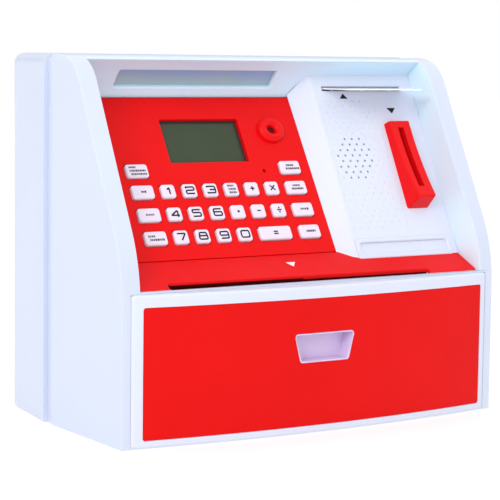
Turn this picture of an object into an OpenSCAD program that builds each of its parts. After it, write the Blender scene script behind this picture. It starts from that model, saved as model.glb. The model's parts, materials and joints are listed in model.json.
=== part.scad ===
// Toy cash machine savings bank: a two-shell money box with a sloping
// keypad panel, a coin slot, a card slot, a banknote slot and a money drawer.
// Frame: X to the right, +Y to the back, +Z up, origin under the middle of
// the footprint at floor level. Millimetres.

/* [Body] */
// Width of the front shell
body_w = 240; // [220:1:260]
// Depth of the whole toy, from the bowed drawer front to the back wall
body_d = 155; // [150:1:170]
// Height of the front shell's roof above the floor
body_h = 199; // [195:1:205]
// Thickness of the moulded shell walls
wall = 2.6; // [2.2:0.1:3]
// How far the rear cover stands proud of the front shell
cover_proud = 1; // [0.5:0.1:1.5]
// Height of the rubber feet's tread below the shell
foot_tread = 0.5; // [0.4:0.1:1]

/* [Front] */
// Angle of the bezels and the card and coin panel, back from vertical
slope_tilt = 27; // [25:0.5:28]
// Angle of the keypad fascia, back from vertical
fascia_tilt = 31.2; // [30:0.1:32]
// Width of each bezel beside the recessed panels
bezel_w = 10.5; // [10:0.5:12]
// Radius of the bend between the upright front and the sloping bezels
bend_r = 85; // [70:1:90]
// Radius of the bend between the bezels and the roof
brow_r = 25; // [20:1:28]

/* [Drawer] */
// Height of the drawer front's top edge above the floor
drawer_top = 78.4; // [76:0.1:79]
// How far the middle of the drawer front bows out past its ends
front_bow = 9.5; // [6:0.5:10]
// Width of the white border around the red inlay
inlay_border = 6; // [5:0.5:8]
// How deep the inlay's face sits below the white border
inlay_sink = 0.4; // [0.2:0.1:1]

/* [Keypad] */
// Spacing of the key columns
key_pitch_x = 13.23; // [13:0.01:13.5]
// Spacing of the key rows along the fascia
key_pitch_s = 13.6; // [13.4:0.1:14]
// Width of a number key
key_w = 8.6; // [8.2:0.1:10.4]
// Width of a function key at the end of a row
side_key_w = 13.4; // [12.8:0.1:15.6]
// Height of every key along the fascia
key_l = 8.1; // [7.6:0.1:9.4]
// How far a key stands above the fascia
key_rise = 1.5; // [1.4:0.1:2.6]
// How far a key travels when it is pressed
key_travel = 1.2; // [0.8:0.1:1.3]

/* [Hidden] */
$fn = 48;
clear = 0.35;                        // gap round each moving piece
skin = 2.4;                          // thickness of the red and white panels
eps = 0.01;
half_w = body_w / 2;
front_y = front_bow - body_d / 2;    // upright front plane of the bezels
rear_y = body_d / 2;
floor_z = foot_tread;
inner_x = half_w - bezel_w;          // inner wall of each bezel
panel_x = inner_x - 0.3;             // ends of the recessed panels
rim_x = half_w - 5;                  // sides of the drawer opening
bar_z = drawer_top + 0.5;            // underside of the bar over the drawer
bar_t = 1.1;

// Seam between the shells
seam_y = 10;
neck_l = 8;
neck_in = 2;                         // depth of the groove
cover_y = seam_y + neck_l;
cover_corner_r = 14;
cover_draft = 8;                     // the rear cover's sides run in by this angle

// Bezel outline: an upright, a large bend, a slope, a smaller bend, the roof
bend_z = 72;
bend_y = front_y + bend_r;
brow_z = body_h - brow_r;
slope_run = tan(slope_tilt);
bend_end_y = bend_y - bend_r * cos(slope_tilt);
bend_end_z = bend_z + bend_r * sin(slope_tilt);
brow_y = bend_end_y + slope_run * (brow_z + brow_r * sin(slope_tilt) - bend_end_z)
       + brow_r * cos(slope_tilt);

// Panel planes: a point on each plane, and its angle
recess = 19.9;                       // depth of the card and coin panel behind the bezels
island_z = 88.9;
island_y = bend_end_y + slope_run * (island_z - bend_end_z) + recess;
island_len = 112.1;
island_x = 38.5;                     // left edge of the panel's face
island_foot_x = 28.5;                // foot of its left bevel, on the fascia
fascia_y = island_y + 6.3;
fascia_z = 92.3;
fascia_len = 97.5;
fascia_x = island_foot_x - 0.2;
ledge_front_y = front_y + 2;
ledge_front_z = bar_z + bar_t;
ledge_angle = atan2(fascia_z - ledge_front_z - 0.2, fascia_y - ledge_front_y);
ledge_len = norm([fascia_y - ledge_front_y, fascia_z - ledge_front_z - 0.2]);
lip_y = brow_y - sqrt(pow(brow_r, 2) - pow(brow_r - wall, 2));
lip_z = body_h - wall;
fascia_top_y = fascia_y + fascia_len * sin(fascia_tilt);
fascia_top_z = fascia_z + fascia_len * cos(fascia_tilt);
header_len = norm([fascia_top_y + 2.2 - lip_y, lip_z - fascia_top_z]);
header_tilt = atan2(fascia_top_y + 2.2 - lip_y, lip_z - fascia_top_z);
header_sag = 2.5;                    // hollow of the header between the lip and the fascia

// Banknote slot in the ledge
note_x = [-90, 78];
note_y = [ledge_front_y, ledge_front_y + 4.9];

// Card slot, card and its guide
card = [54, 85.6, 0.8];
card_x = 73;
card_z = 180.7;
card_out = 24.5;                     // how far the card stands out of the panel
slot_h = 2.8;
guide_w = 58;                        // outer width of the channel behind the slot
guide_top = 3;
card_y = island_y + slope_run * (card_z - island_z) - card_out;

// Coin slot moulding, in the card and coin panel's own plane
coin_x = [82, 97.2];
coin_s = [27.8, 81.2];
coin_slot_x = 87.5;
coin_slot_w = 4;
coin_slot_s = [38, 76.5];

// Key layout: name, column, row, width
side_l = -83.4;
side_r = 14.3;
digit_x = -67.9;
row_s = 12.7;                        // lowest row above the fascia's lower edge
KEYS = [
    ["menu", "left", 3, side_key_w], ["enter", "right", 3, side_key_w],
    ["account", "left", 2, side_key_w], ["1", 0, 2, key_w], ["2", 1, 2, key_w], ["3", 2, 2, key_w],
    ["memory", 3, 2, key_w], ["plus", 4, 2, key_w], ["times", 5, 2, key_w],
    ["clear", "right", 2, side_key_w],
    ["deposit", "left", 1, side_key_w], ["4", 0, 1, key_w], ["5", 1, 1, key_w], ["6", 2, 1, key_w],
    ["point", 3, 1, key_w], ["minus", 4, 1, key_w], ["divide", 5, 1, key_w],
    ["withdraw", "right", 1, side_key_w],
    ["clock", "left", 0, side_key_w], ["7", 0, 0, key_w], ["8", 1, 0, key_w], ["9", 2, 0, key_w],
    ["0", 3, 0, key_w], ["equals", 4.5, 0, key_w + key_pitch_x - 1], ["alarm", "right", 0, side_key_w]
];
top_row_drop = 1;                    // the top row of function keys sits this much closer

// Layers behind the fascia, measured down from its face
flange_t = 0.9;
flange_out = 0.6;
dome_h = 0.55;
mat_h = skin + clear + flange_t + key_travel + dome_h + 0.2;
mat_t = 1.2;
board_t = 1.6;
lcd_x = [-60.5, -10.5];
lcd_s = [57.4, 84];
ring_at = [9.2, 76.1];
mic_at = [-2.5, 51.3];

// Drawer
drawer_x = rim_x - 0.4;
drawer_back = 62;
tray_x = 111.2;
tray_wall = 2;
tray_z = floor_z + wall + 0.8;
tray_h = 66;
front_t = 3.2;
bow_r = (pow(half_w, 2) + pow(front_bow, 2)) / (2 * front_bow);
bow_y = front_y - front_bow + bow_r;
front_back_y = front_y + 7;
pull_x = -1.7;
pull_top_w = 36;
pull_bottom_w = 28;
pull_z = [39.6, 52.2];
pull_depth = 9.5;
pull_wall = 1.6;

// Battery box, on the rear cover's back wall
cell_d = 14.2;
cell_l = 50.5;
cell_pitch = 15.8;
cell_n = 3;
bay_w = cell_pitch * cell_n + 2;
bay_x = -56;
bay_z = [98, 98 + cell_l + 6];
bay_depth = 18;
bay_wall = 1.6;
cell_z = bay_z[0] + 2.4;
back_wall_y = rear_y - wall;
cell_y = back_wall_y - 8.2;

white = [0.90, 0.93, 0.98];
red = [0.88, 0.06, 0.07];

// ---------------------------------------------------------------- helpers

// Points of an arc, from angle a0 to a1 in n steps
function arc(cx, cy, r, a0, a1, n = 12) =
    [for (i = [0:n]) let (a = a0 + (a1 - a0) * i / n) [cx + r * cos(a), cy + r * sin(a)]];

// The front outline of the side walls in the Y-Z plane, inset by i
function front_outline(i) = concat(
    [[front_y + i, floor_z]],
    arc(bend_y, bend_z, bend_r - i, 180, 180 - slope_tilt, 10),
    arc(brow_y, brow_z, brow_r - i, 180 - slope_tilt, 90, 10));

// The rear cover's plan, inset by i: straight drafted sides and round corners
function cover_half(i) = concat(
    [[half_w + cover_proud - i / cos(cover_draft), cover_y]],
    arc(cover_cx, rear_y - cover_corner_r, cover_corner_r - i, cover_draft, 90, 10));
cover_cx = half_w + cover_proud
    - (cover_corner_r - (rear_y - cover_corner_r - cover_y) * -sin(cover_draft)) / cos(cover_draft);
function mirror_x(pts) = [for (i = [len(pts) - 1:-1:0]) [-pts[i][0], pts[i][1]]];
function cover_plan(i) = concat(cover_half(i), mirror_x(cover_half(i)));

// Extrude a Y-Z outline from x0 to x1
module across(x0, x1) translate([x0, 0, 0]) rotate([90, 0, 90]) linear_extrude(x1 - x0) children();

// Box from its lowest and highest corners
module span(a, b) translate(a) cube(b - a);

// Local frames: x along the panel, y up its slope, z out of its face.
// The header leans the other way: y runs down it and z into the toy.
module on_fascia() translate([0, fascia_y, fascia_z]) rotate([90 - fascia_tilt, 0, 0]) children();
module on_island() translate([0, island_y, island_z]) rotate([90 - slope_tilt, 0, 0]) children();
module on_ledge() translate([0, ledge_front_y, ledge_front_z]) rotate([ledge_angle, 0, 0]) children();
module on_header() translate([0, lip_y, lip_z]) rotate([header_tilt - 90, 0, 0]) children();

module both_sides() {
    children();
    mirror([1, 0, 0]) children();
}

// ---------------------------------------------------------------- shells

module side_region(i) polygon(concat(front_outline(i), [[seam_y, body_h - i], [seam_y, floor_z]]));

module bezel_skin() difference() {
    side_region(0);
    side_region(wall);
}

module front_shell() color(white) {
    both_sides() {
        // outer side wall
        across(half_w - wall, half_w) side_region(0);
        // front strip beside the drawer
        across(rim_x, half_w - wall + eps) intersection() {
            side_region(0);
            translate([front_y - 1, floor_z]) square([9, bar_z + bar_t - floor_z]);
        }
        // rounded bezel skin above the drawer
        across(inner_x, half_w - wall + eps) intersection() {
            bezel_skin();
            translate([front_y - 1, bar_z + bar_t - eps]) square([100, body_h]);
        }
        // inner wall of the bezel, back to the recessed panels
        across(inner_x, inner_x + 2) intersection() {
            side_region(0);
            polygon([[front_y, bar_z + bar_t], [fascia_y + 8, bar_z + bar_t],
                [fascia_top_y + 4, fascia_top_z - 4], [seam_y - 1, body_h], [front_y, body_h]]);
        }
        // recessed neck beside the seam
        span([half_w - neck_in - wall, seam_y - wall, floor_z],
            [half_w - neck_in, cover_y, body_h - neck_in - wall]);
    }
    // posts that the case screws bite into, each on a web from the neck
    for (p = screw_at) difference() {
        union() {
            translate([p[0], post_back_y, p[1]]) rotate([90, 0, 0])
                cylinder(h = post_back_y - post_front_y, r = post_r);
            span([p[0] < 0 ? 1 - half_w + wall : p[0], post_front_y, p[1] - web_t / 2],
                [p[0] < 0 ? p[0] : half_w - wall - 1, cover_y, p[1] + web_t / 2]);
        }
        translate([p[0], post_back_y + 1, p[1]]) rotate([90, 0, 0]) cylinder(h = screw_l, r = screw_r + 0.05);
    }
    // roof, and its neck
    across(-half_w + wall - eps, half_w - wall + eps) difference() {
        bezel_skin();
        translate([front_y - 5, 0]) square([200, lip_z]);
    }
    span([neck_in - half_w, seam_y - wall, body_h - neck_in - wall - eps],
        [half_w - neck_in, cover_y, body_h - neck_in]);
    span([-half_w + wall - eps, seam_y - wall, body_h - neck_in - wall],
        [half_w - wall + eps, seam_y, body_h - wall + eps]);
    // bar between the drawer and the ledge: only its front lip runs past the banknote slot
    difference() {
        span([-rim_x - eps, front_y + 0.4, bar_z], [rim_x + eps, front_y + 9, bar_z + bar_t]);
        span([note_x[0], note_y[0], bar_z - 1], [note_x[1], front_y + 10, bar_z + 4]);
    }
}

cover_top = body_h + 0.4;
cover_top_r = 6;                     // rounding of the cover's top edge
module rear_cover() color(white) difference() {
    union() {
        difference() {
            hull() {
                translate([0, 0, floor_z]) linear_extrude(cover_top - cover_top_r - floor_z)
                    polygon(cover_plan(0));
                for (a = [15:15:90]) translate([0, 0, cover_top - cover_top_r * (1 - sin(a)) - 0.02])
                    linear_extrude(0.02) polygon(cover_plan(cover_top_r * (1 - cos(a))));
            }
            translate([0, 0, -1]) linear_extrude(body_h + 1.4 - wall) polygon(cover_plan(wall));
            span([-half_w, cover_y - 1, -1], [half_w, cover_y + eps, body_h - wall]);
        }
        // bosses for the case screws
        for (p = screw_at) translate([p[0], back_wall_y + eps, p[1]]) rotate([90, 0, 0])
            cylinder(h = boss_l, r = boss_r);
    }
    // battery doorway
    span([bay_x - bay_w / 2, rear_y - 10, bay_z[0]], [bay_x + bay_w / 2, rear_y + 1, bay_z[1]]);
    // screw holes, counterbored
    for (p = screw_at) translate([p[0], rear_y + 1, p[1]]) rotate([90, 0, 0]) {
        cylinder(h = 30, r = screw_r + 0.15);
        cylinder(h = screw_deep + head_t + 1, r = head_r + 0.3);
    }
}
screw_at = [[-106, 84], [106, 84], [-106, 176], [106, 176]];
screw_r = 1.6;
screw_l = 17;
screw_deep = 8;
head_r = 3.1;
head_t = 2.2;
boss_r = 4;
boss_l = 16;
post_r = 3.5;
post_front_y = seam_y + 2;
post_back_y = back_wall_y - boss_l - 0.1;
web_t = 3;

module base_plate() color([0.86, 0.89, 0.94]) difference() {
    union() {
        span([-rim_x - 0.2, front_back_y + 1.5, floor_z], [rim_x + 0.2, cover_y + 1, floor_z + wall]);
        translate([0, eps, floor_z]) linear_extrude(wall) polygon(cover_plan(wall + 0.3));
    }
    for (p = foot_at) translate([p[0], p[1], -1]) cylinder(h = foot_h + 1, r = foot_r + 0.3);
}
foot_at = [[-98, -48], [98, -48], [-98, 56], [98, 56]];
foot_r = 6;
foot_h = 1.5;

module feet() color([0.2, 0.2, 0.22])
    for (p = foot_at) translate([p[0], p[1], 0]) cylinder(h = foot_h, r = foot_r);

// The screws, from the back wall into the front shell's posts
module case_screws() color("silver") for (p = screw_at)
    translate([p[0], rear_y - screw_deep, p[1]]) rotate([90, 0, 0]) {
        difference() {
            cylinder(h = head_t, r = head_r);
            translate([-2.2, -0.4, -1]) cube([4.4, 0.8, 2]);
            translate([-0.4, -2.2, -1]) cube([0.8, 4.4, 2]);
        }
        cylinder(h = screw_l, r = screw_r);
    }

// ---------------------------------------------------------------- header

header_x = [-85, 15.5];
header_s = [9.8, 21.6];

function header_face(s) = 4 * header_sag * (s / header_len) * (1 - s / header_len);

// A slice of the curved header, from length s[0] to s[1] and between two depths behind its face
module header_slice(x, s, depth) on_header() across(x[0], x[1]) polygon(concat(
    [for (i = [0:12]) let (a = s[0] + (s[1] - s[0]) * i / 12) [a, header_face(a) + depth[0]]],
    [for (i = [12:-1:0]) let (a = s[0] + (s[1] - s[0]) * i / 12) [a, header_face(a) + depth[1]]]));

module header_panel() color([0.84, 0.87, 0.93]) difference() {
    header_slice([-panel_x, panel_x], [0.3, header_len - 0.2], [0, 2.2]);
    header_slice(header_x, header_s, [-1, 4]);
    // clear of the roof and of the card guide
    span([-200, -100, lip_z - 0.1], [200, 100, lip_z + 10]);
    span([card_x - guide_w / 2 - 1, -50, 0], [card_x + guide_w / 2 + 1, 80, card_z + guide_top + 0.6]);
}

module header_window() color([0.7, 0.75, 0.85, 0.6])
    header_slice([header_x[0] - 2, header_x[1] + 2], [header_s[0] - 2, header_s[1] + 2], [2.3, 3.8]);

// ---------------------------------------------------------------- keypad

function key_x(k) = k[1] == "left" ? side_l : k[1] == "right" ? side_r : digit_x + k[1] * key_pitch_x;
function key_s(k) = row_s + k[2] * key_pitch_s - (k[2] == 3 ? top_row_drop : 0);

module key_block(k, grow, h0, h1)
    translate([key_x(k) - k[3] / 2 - grow, key_s(k) - key_l / 2 - grow, h0])
        cube([k[3] + 2 * grow, key_l + 2 * grow, h1 - h0]);

module keypad_fascia() color(red) difference() {
    on_fascia() span([-panel_x, 0, -skin], [fascia_x, fascia_len, 0]);
    on_fascia() for (k = KEYS) key_block(k, clear, -skin - 1, 1);
    on_fascia() span([lcd_x[0], lcd_s[0], -skin - 1], [lcd_x[1], lcd_s[1], 1]);
    on_fascia() translate([ring_at[0], ring_at[1], -skin - 1]) cylinder(h = skin + 2, r = 3);
    on_fascia() translate([mic_at[0], mic_at[1], -skin - 1]) cylinder(h = skin + 2, r = 1);
}

module key(k) color([0.95, 0.95, 0.97]) on_fascia() {
    key_block(k, 0, -skin - clear - flange_t + eps, key_rise - 0.6);
    key_block(k, -0.6, key_rise - 0.7, key_rise);
    key_block(k, flange_out, -skin - clear - flange_t, -skin - clear);
}

// Rubber sheet with one low dome under each key
module keypad_mat() color([0.55, 0.57, 0.6]) on_fascia() {
    span([-96, 4, -mat_h - mat_t], [26, 60, -mat_h]);
    for (k = KEYS) translate([key_x(k), key_s(k), -mat_h - eps]) cylinder(h = dome_h, r = 3);
}

module main_board() color([0.05, 0.35, 0.18]) on_fascia() {
    span([-98, 2, -mat_h - mat_t - board_t], [27, 90, -mat_h - mat_t]);
    // driver chip and a row of connectors on the back
    span([-52, 60, -mat_h - mat_t - board_t - 2], [-36, 76, -mat_h - mat_t - board_t + eps]);
    for (x = [-20, -6, 8])
        span([x, 78, -mat_h - mat_t - board_t - 6], [x + 10, 84, -mat_h - mat_t - board_t + eps]);
}

module lcd_module() color([0.29, 0.35, 0.27]) on_fascia() {
    span([lcd_x[0] - 1.5, lcd_s[0] - 1.5, -skin - 2.9], [lcd_x[1] + 1.5, lcd_s[1] + 1.5, -skin - 0.1]);
}

module camera_ring() color(red) on_fascia() translate([ring_at[0], ring_at[1], 0])
    rotate_extrude() polygon(concat([[2.5, 0.05], [8.6, 0.05]], arc(5.55, 0.4, 3.05, 0, 180, 12)));

module camera_lens() color([0.1, 0.02, 0.03]) on_fascia()
    translate([ring_at[0], ring_at[1], -skin - 0.4]) cylinder(h = skin + 2.2, r = 2.35);

// ---------------------------------------------------------------- ledge

module banknote_ledge() color(red) difference() {
    on_ledge() span([-panel_x, 0, -2], [panel_x, ledge_len, 0]);
    // the slot is open along the ledge's front edge, where the white bar closes it
    span([note_x[0], note_y[0] - 5, bar_z - 2], [note_x[1], note_y[1], bar_z + 12]);
    // sits on the bar and behind its front edge
    span([-200, -100, bar_z - 20], [200, front_y + 9.1, bar_z + bar_t]);
}

// ---------------------------------------------------------------- card and coin panel

pocket_x = [42.3, 103];
pocket_s = [1.8, 8.4];
speaker_at = [55.4, 60];
// Sound holes on a hexagonal grid: each row's first column and number of holes
speaker_rows = [[-1, 3], [-1.5, 4], [-2, 5], [-2.5, 5], [-2, 5], [-2.5, 5], [-2, 4], [-1.5, 3]];
hole_pitch = 5;
hole_row = 3.4;
hole_r = 0.8;
grid_x = speaker_at[0] + hole_pitch / 4;

module sound_holes() for (r = [0:len(speaker_rows) - 1]) for (i = [0:speaker_rows[r][1] - 1])
    translate([grid_x + (speaker_rows[r][0] + i) * hole_pitch,
        speaker_at[1] + ((len(speaker_rows) - 1) / 2 - r) * hole_row, -skin - 1])
        cylinder(h = skin + 2, r = hole_r, $fn = 16);

module service_panel() color(white) difference() {
    union() {
        on_island() span([island_x - eps, 0, -skin], [panel_x, island_len, 0]);
        // left bevel, from the face down to the keypad fascia
        hull() {
            on_island() span([island_x, 1, -skin + 0.1], [island_x + 0.5, island_len + 1, -0.1]);
            on_fascia() span([island_foot_x, -1, -2], [island_foot_x + 0.5, fascia_len + 4, 0]);
        }
        // raised frame round the pocket
        on_island() span([pocket_x[0] - 3, 0, -eps], [pocket_x[1] + 2.5, pocket_s[1] + 2.8, 0.8]);
    }
    on_island() span([pocket_x[0], pocket_s[0], -1.2], [pocket_x[1], pocket_s[1], 3]);
    span([card_x - card[0] / 2 - 1, -60, card_z - 0.9], [card_x + card[0] / 2 + 1, 60, card_z - 0.9 + slot_h]);
    on_island() coin_slot_cut();
    on_island() sound_holes();
    // trimmed to the ledge and to the header
    on_ledge() span([-200, -50, -20], [200, 100, 0.05]);
    header_slice([-200, 200], [-4, header_len], [-0.05, 30]);
}

// Red coin moulding: a slim wedge with a hollowed front, thickest at its foot
coin_top_h = 5;
coin_foot_h = 10.5;
module coin_slot_bezel() color(red) on_island() difference() {
    translate([coin_x[0], 0, 0]) rotate([90, 0, 90]) linear_extrude(coin_x[1] - coin_x[0])
        polygon(concat([[coin_s[0], 0.05]], coin_front, [[coin_s[1], coin_top_h - 0.8], [coin_s[1], 0.05]]));
    coin_slot_cut();
}
// hollow of the front: a parabola between the foot and the top
coin_foot_s = coin_s[0] + 3.5;
coin_sag = 6;
coin_front = [for (i = [0:10]) let (t = i / 10)
    [coin_foot_s + t * (coin_s[1] - 0.8 - coin_foot_s),
     coin_foot_h + (coin_top_h - coin_foot_h) * t - coin_sag * t * (1 - t)]];
module coin_slot_cut()
    translate([coin_slot_x, coin_slot_s[0], -skin - 1])
        cube([coin_slot_w, coin_slot_s[1] - coin_slot_s[0], 20]);

module coin_chute() color([0.8, 0.83, 0.88]) {
    x0 = coin_slot_x - 2.4;
    x1 = coin_slot_x + coin_slot_w + 2.4;
    difference() {
        across(x0, x1) chute_outline(0);
        across(x0 + 1.4, x1 - 1.4) chute_outline(1.6);
    }
}
// The chute's side view: it hangs behind the coin slot and opens over the drawer
function chute_pt(s) = [island_y + s * sin(slope_tilt) + (skin + 0.1) * cos(slope_tilt),
    island_z + s * cos(slope_tilt) - (skin + 0.1) * sin(slope_tilt)];
module chute_outline(i) {
    low = chute_pt(36);
    top = chute_pt(82);
    z0 = bar_z + 4;
    polygon([[low[0] + i, z0 - i * 2], [low[0] + i, low[1]],
        i == 0 ? low : [low[0] - 4, low[1] - 6 + i], i == 0 ? top : [top[0] - 5, top[1] - 4 - i],
        [top[0] + 8 - i, top[1] - 10 - i], [low[0] + 17 - i, 102], [low[0] + 17 - i, z0 - i * 2]]);
}

module speaker() color([0.15, 0.15, 0.16]) on_island() translate([speaker_at[0], speaker_at[1], -skin - 0.1]) {
    rotate([180, 0, 0]) cylinder(h = 3, r = 16.5);
    translate([0, 0, -8]) cylinder(h = 5.1, r1 = 9, r2 = 15.5);
    translate([0, 0, -12]) cylinder(h = 4.1, r = 10);
}

module bank_card() color([0.96, 0.96, 0.98])
    translate([card_x - card[0] / 2, card_y, card_z]) cube(card);

module card_guide() color([0.8, 0.83, 0.88]) difference() {
    y0 = island_y + slope_run * (card_z - island_z) + 4.2;
    span([card_x - guide_w / 2, y0, card_z - 2],
        [card_x + guide_w / 2, card_y + card[1] + 2.4, card_z + guide_top]);
    span([card_x - card[0] / 2 - 0.6, y0 - 1, card_z - 0.5],
        [card_x + card[0] / 2 + 0.6, card_y + card[1] + 0.8, card_z + 1.5]);
}

module card_sensor() color([0.12, 0.12, 0.13])
    span([card_x - 6, card_y + card[1] - 16, card_z + guide_top],
        [card_x + 6, card_y + card[1] - 8, card_z + guide_top + 5]);

// ---------------------------------------------------------------- drawer

// Plan of the bowed front, inset by i on its face and sides
module bow_plan(i) intersection() {
    translate([0, bow_y]) circle(r = bow_r - i, $fn = 360);
    translate([-drawer_x + i, front_y - front_bow - 1])
        square([2 * (drawer_x - i), front_back_y - front_y + front_bow + 1]);
}

module pull_outline(grow) translate([pull_x, 0]) polygon([
    [-pull_bottom_w / 2 - grow, pull_z[0] - grow], [pull_bottom_w / 2 + grow, pull_z[0] - grow],
    [pull_top_w / 2 + grow, pull_z[1] + grow], [-pull_top_w / 2 - grow, pull_z[1] + grow]]);

module pull_prism(grow, y0, y1)
    translate([0, y1, 0]) rotate([90, 0, 0]) linear_extrude(y1 - y0) pull_outline(grow);

inlay_x = [inlay_border - drawer_x, drawer_x - inlay_border + 2.2];
inlay_z = [4.2, drawer_top - inlay_border - 0.1];
inlay_t = 1.2;

module drawer_front() color(white) difference() {
    translate([0, 0, floor_z + 0.5]) linear_extrude(drawer_top - floor_z - 0.5) bow_plan(0);
    // hollow behind the face
    translate([0, 0.01, tray_z]) linear_extrude(drawer_top - tray_z - 3) bow_plan(front_t);
    // seat of the red inlay
    intersection() {
        difference() {
            translate([0, 0, inlay_z[0]]) linear_extrude(inlay_z[1] - inlay_z[0]) bow_plan(-2);
            translate([0, 0, inlay_z[0] - 1]) linear_extrude(inlay_z[1] - inlay_z[0] + 2)
                bow_plan(inlay_sink + inlay_t);
        }
        span([inlay_x[0], -200, 0], [inlay_x[1], 0, 100]);
    }
    pull_prism(pull_wall, -100, front_back_y - 1);
    // way through the top edge for banknotes
    span([note_x[0] - 4, note_y[0] - 0.6, drawer_top - 4], [note_x[1] + 4, front_back_y + 1, drawer_top + 1]);
}

module drawer_inlay() color(red) difference() {
    intersection() {
        difference() {
            translate([0, 0, inlay_z[0] + 0.1]) linear_extrude(inlay_z[1] - inlay_z[0] - 0.2)
                bow_plan(inlay_sink);
            translate([0, 0, inlay_z[0] - 1]) linear_extrude(inlay_z[1] - inlay_z[0] + 2)
                bow_plan(inlay_sink + inlay_t - 0.1);
        }
        span([inlay_x[0] + 0.1, -200, 0], [inlay_x[1] - 0.1, 0, 100]);
    }
    pull_prism(pull_wall, -100, 0);
}

// White finger cup set into the front
module drawer_pull() color(white) difference() {
    intersection() {
        pull_prism(pull_wall - 0.05, front_y - front_bow, front_y - front_bow + pull_depth + pull_wall);
        linear_extrude(100) bow_plan(0.3);
    }
    pull_prism(0, front_y - front_bow - 5, front_y - front_bow + pull_depth);
}

module drawer_tray() color([0.9, 0.92, 0.96]) difference() {
    span([-tray_x, front_back_y, tray_z], [tray_x, drawer_back, tray_z + tray_h]);
    span([-tray_x + tray_wall, front_back_y - 1, tray_z + tray_wall],
        [tray_x - tray_wall, drawer_back - tray_wall, tray_z + tray_h + 1]);
}

// L-shaped guides along both side walls
module drawer_rails() color([0.8, 0.83, 0.88]) both_sides() {
    span([tray_x - 7, front_back_y + 2, floor_z + wall],
        [half_w - wall - 0.2, seam_y - wall - 0.2, tray_z - 0.3]);
    span([tray_x + 0.5, front_back_y + 2, tray_z - 0.4], [tray_x + 2.5, seam_y - wall - 0.2, floor_z + 16]);
}

// ---------------------------------------------------------------- drawer latch

latch_y = 52;
latch_z = 90;
latch_r = 1.5;
latch_arm = 14;                      // from the pivot down to the hook
latch_w = 6;

module latch_bracket() color([0.8, 0.83, 0.88]) difference() {
    union() {
        for (x = [-6.5, 4.5]) span([x, latch_y - 5, latch_z - 5], [x + 2, back_wall_y, latch_z + 5]);
        span([-6.5, back_wall_y - 2, latch_z - 5], [6.5, back_wall_y, latch_z + 5]);
    }
    translate([-20, latch_y, latch_z]) rotate([0, 90, 0]) cylinder(h = 40, r = latch_r + 0.02);
}

module latch_pin() color("silver")
    translate([-7.5, latch_y, latch_z]) rotate([0, 90, 0]) cylinder(h = 15, r = latch_r);

module latch_lever() color([0.75, 0.78, 0.83]) difference() {
    union() {
        translate([-latch_w / 2 - 0.5, latch_y, latch_z]) rotate([0, 90, 0])
            cylinder(h = latch_w + 1, r = 3.4);
        span([-latch_w / 2, latch_y - 1.6, latch_z - latch_arm], [latch_w / 2, latch_y + 1.6, latch_z]);
        span([-latch_w / 2, latch_y - 1.6, latch_z - latch_arm - 2.5],
            [latch_w / 2, latch_y + 7, latch_z - latch_arm + eps]);
        span([-latch_w / 2, latch_y - 16, latch_z - 1.6], [latch_w / 2, latch_y, latch_z + 1.6]);
    }
    translate([-20, latch_y, latch_z]) rotate([0, 90, 0]) cylinder(h = 40, r = latch_r + 0.06);
}

module latch_coil() color([0.72, 0.45, 0.2]) {
    translate([0, latch_y - 12, latch_z + 8]) cylinder(h = 16, r = 6.5);
    translate([0, latch_y - 12, latch_z + 5]) cylinder(h = 20, r = 2.2);
    span([-8, latch_y - 20, latch_z + 24], [8, back_wall_y, latch_z + 26]);
}

// ---------------------------------------------------------------- power

module battery_box() color([0.15, 0.15, 0.16]) difference() {
    span([bay_x - bay_w / 2 - bay_wall, back_wall_y - bay_depth, bay_z[0] - bay_wall],
        [bay_x + bay_w / 2 + bay_wall, back_wall_y, bay_z[1] + bay_wall]);
    span([bay_x - bay_w / 2, back_wall_y - bay_depth + bay_wall, bay_z[0]],
        [bay_x + bay_w / 2, back_wall_y + 1, bay_z[1]]);
}

function cell_x(i) = bay_x + (i - (cell_n - 1) / 2) * cell_pitch;

module batteries() color([0.2, 0.25, 0.3]) for (i = [0:cell_n - 1])
    translate([cell_x(i), cell_y, cell_z]) {
        cylinder(h = cell_l - 1, r = cell_d / 2);
        cylinder(h = cell_l, r = 2.7);
    }

// A plate at each end of each cell, with a stud that reaches the cell
module battery_contacts() color("silver") for (i = [0:cell_n - 1]) {
    for (z = [bay_z[0] + 0.1, bay_z[1] - 0.6])
        translate([cell_x(i) - 5, cell_y - 5.5, z]) cube([10, 11, 0.5]);
    translate([cell_x(i), cell_y, bay_z[0] + 0.5]) cylinder(h = cell_z - bay_z[0] - 0.6, r = 3);
    translate([cell_x(i), cell_y, cell_z + cell_l + 0.1])
        cylinder(h = bay_z[1] - cell_z - cell_l - 0.6, r = 2.4);
}

module battery_door() color(white) {
    span([bay_x - bay_w / 2 + 0.3, rear_y - 2.2, bay_z[0] + 0.3],
        [bay_x + bay_w / 2 - 0.3, rear_y - 0.2, bay_z[1] - 0.3]);
    span([bay_x - 8, rear_y - 0.21, bay_z[1] - 8], [bay_x + 8, rear_y, bay_z[1] - 3]);
}

// Battery leads, each a run of straight wire with round elbows
lead_r = 0.7;
lead_gap = 2.2;
lead_in = 12;                        // where the leads leave the battery box
lead_y = back_wall_y - bay_depth + 2.5;
plug_face = mat_h + mat_t + board_t + 6.1;
plug_s = 81;
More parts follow.
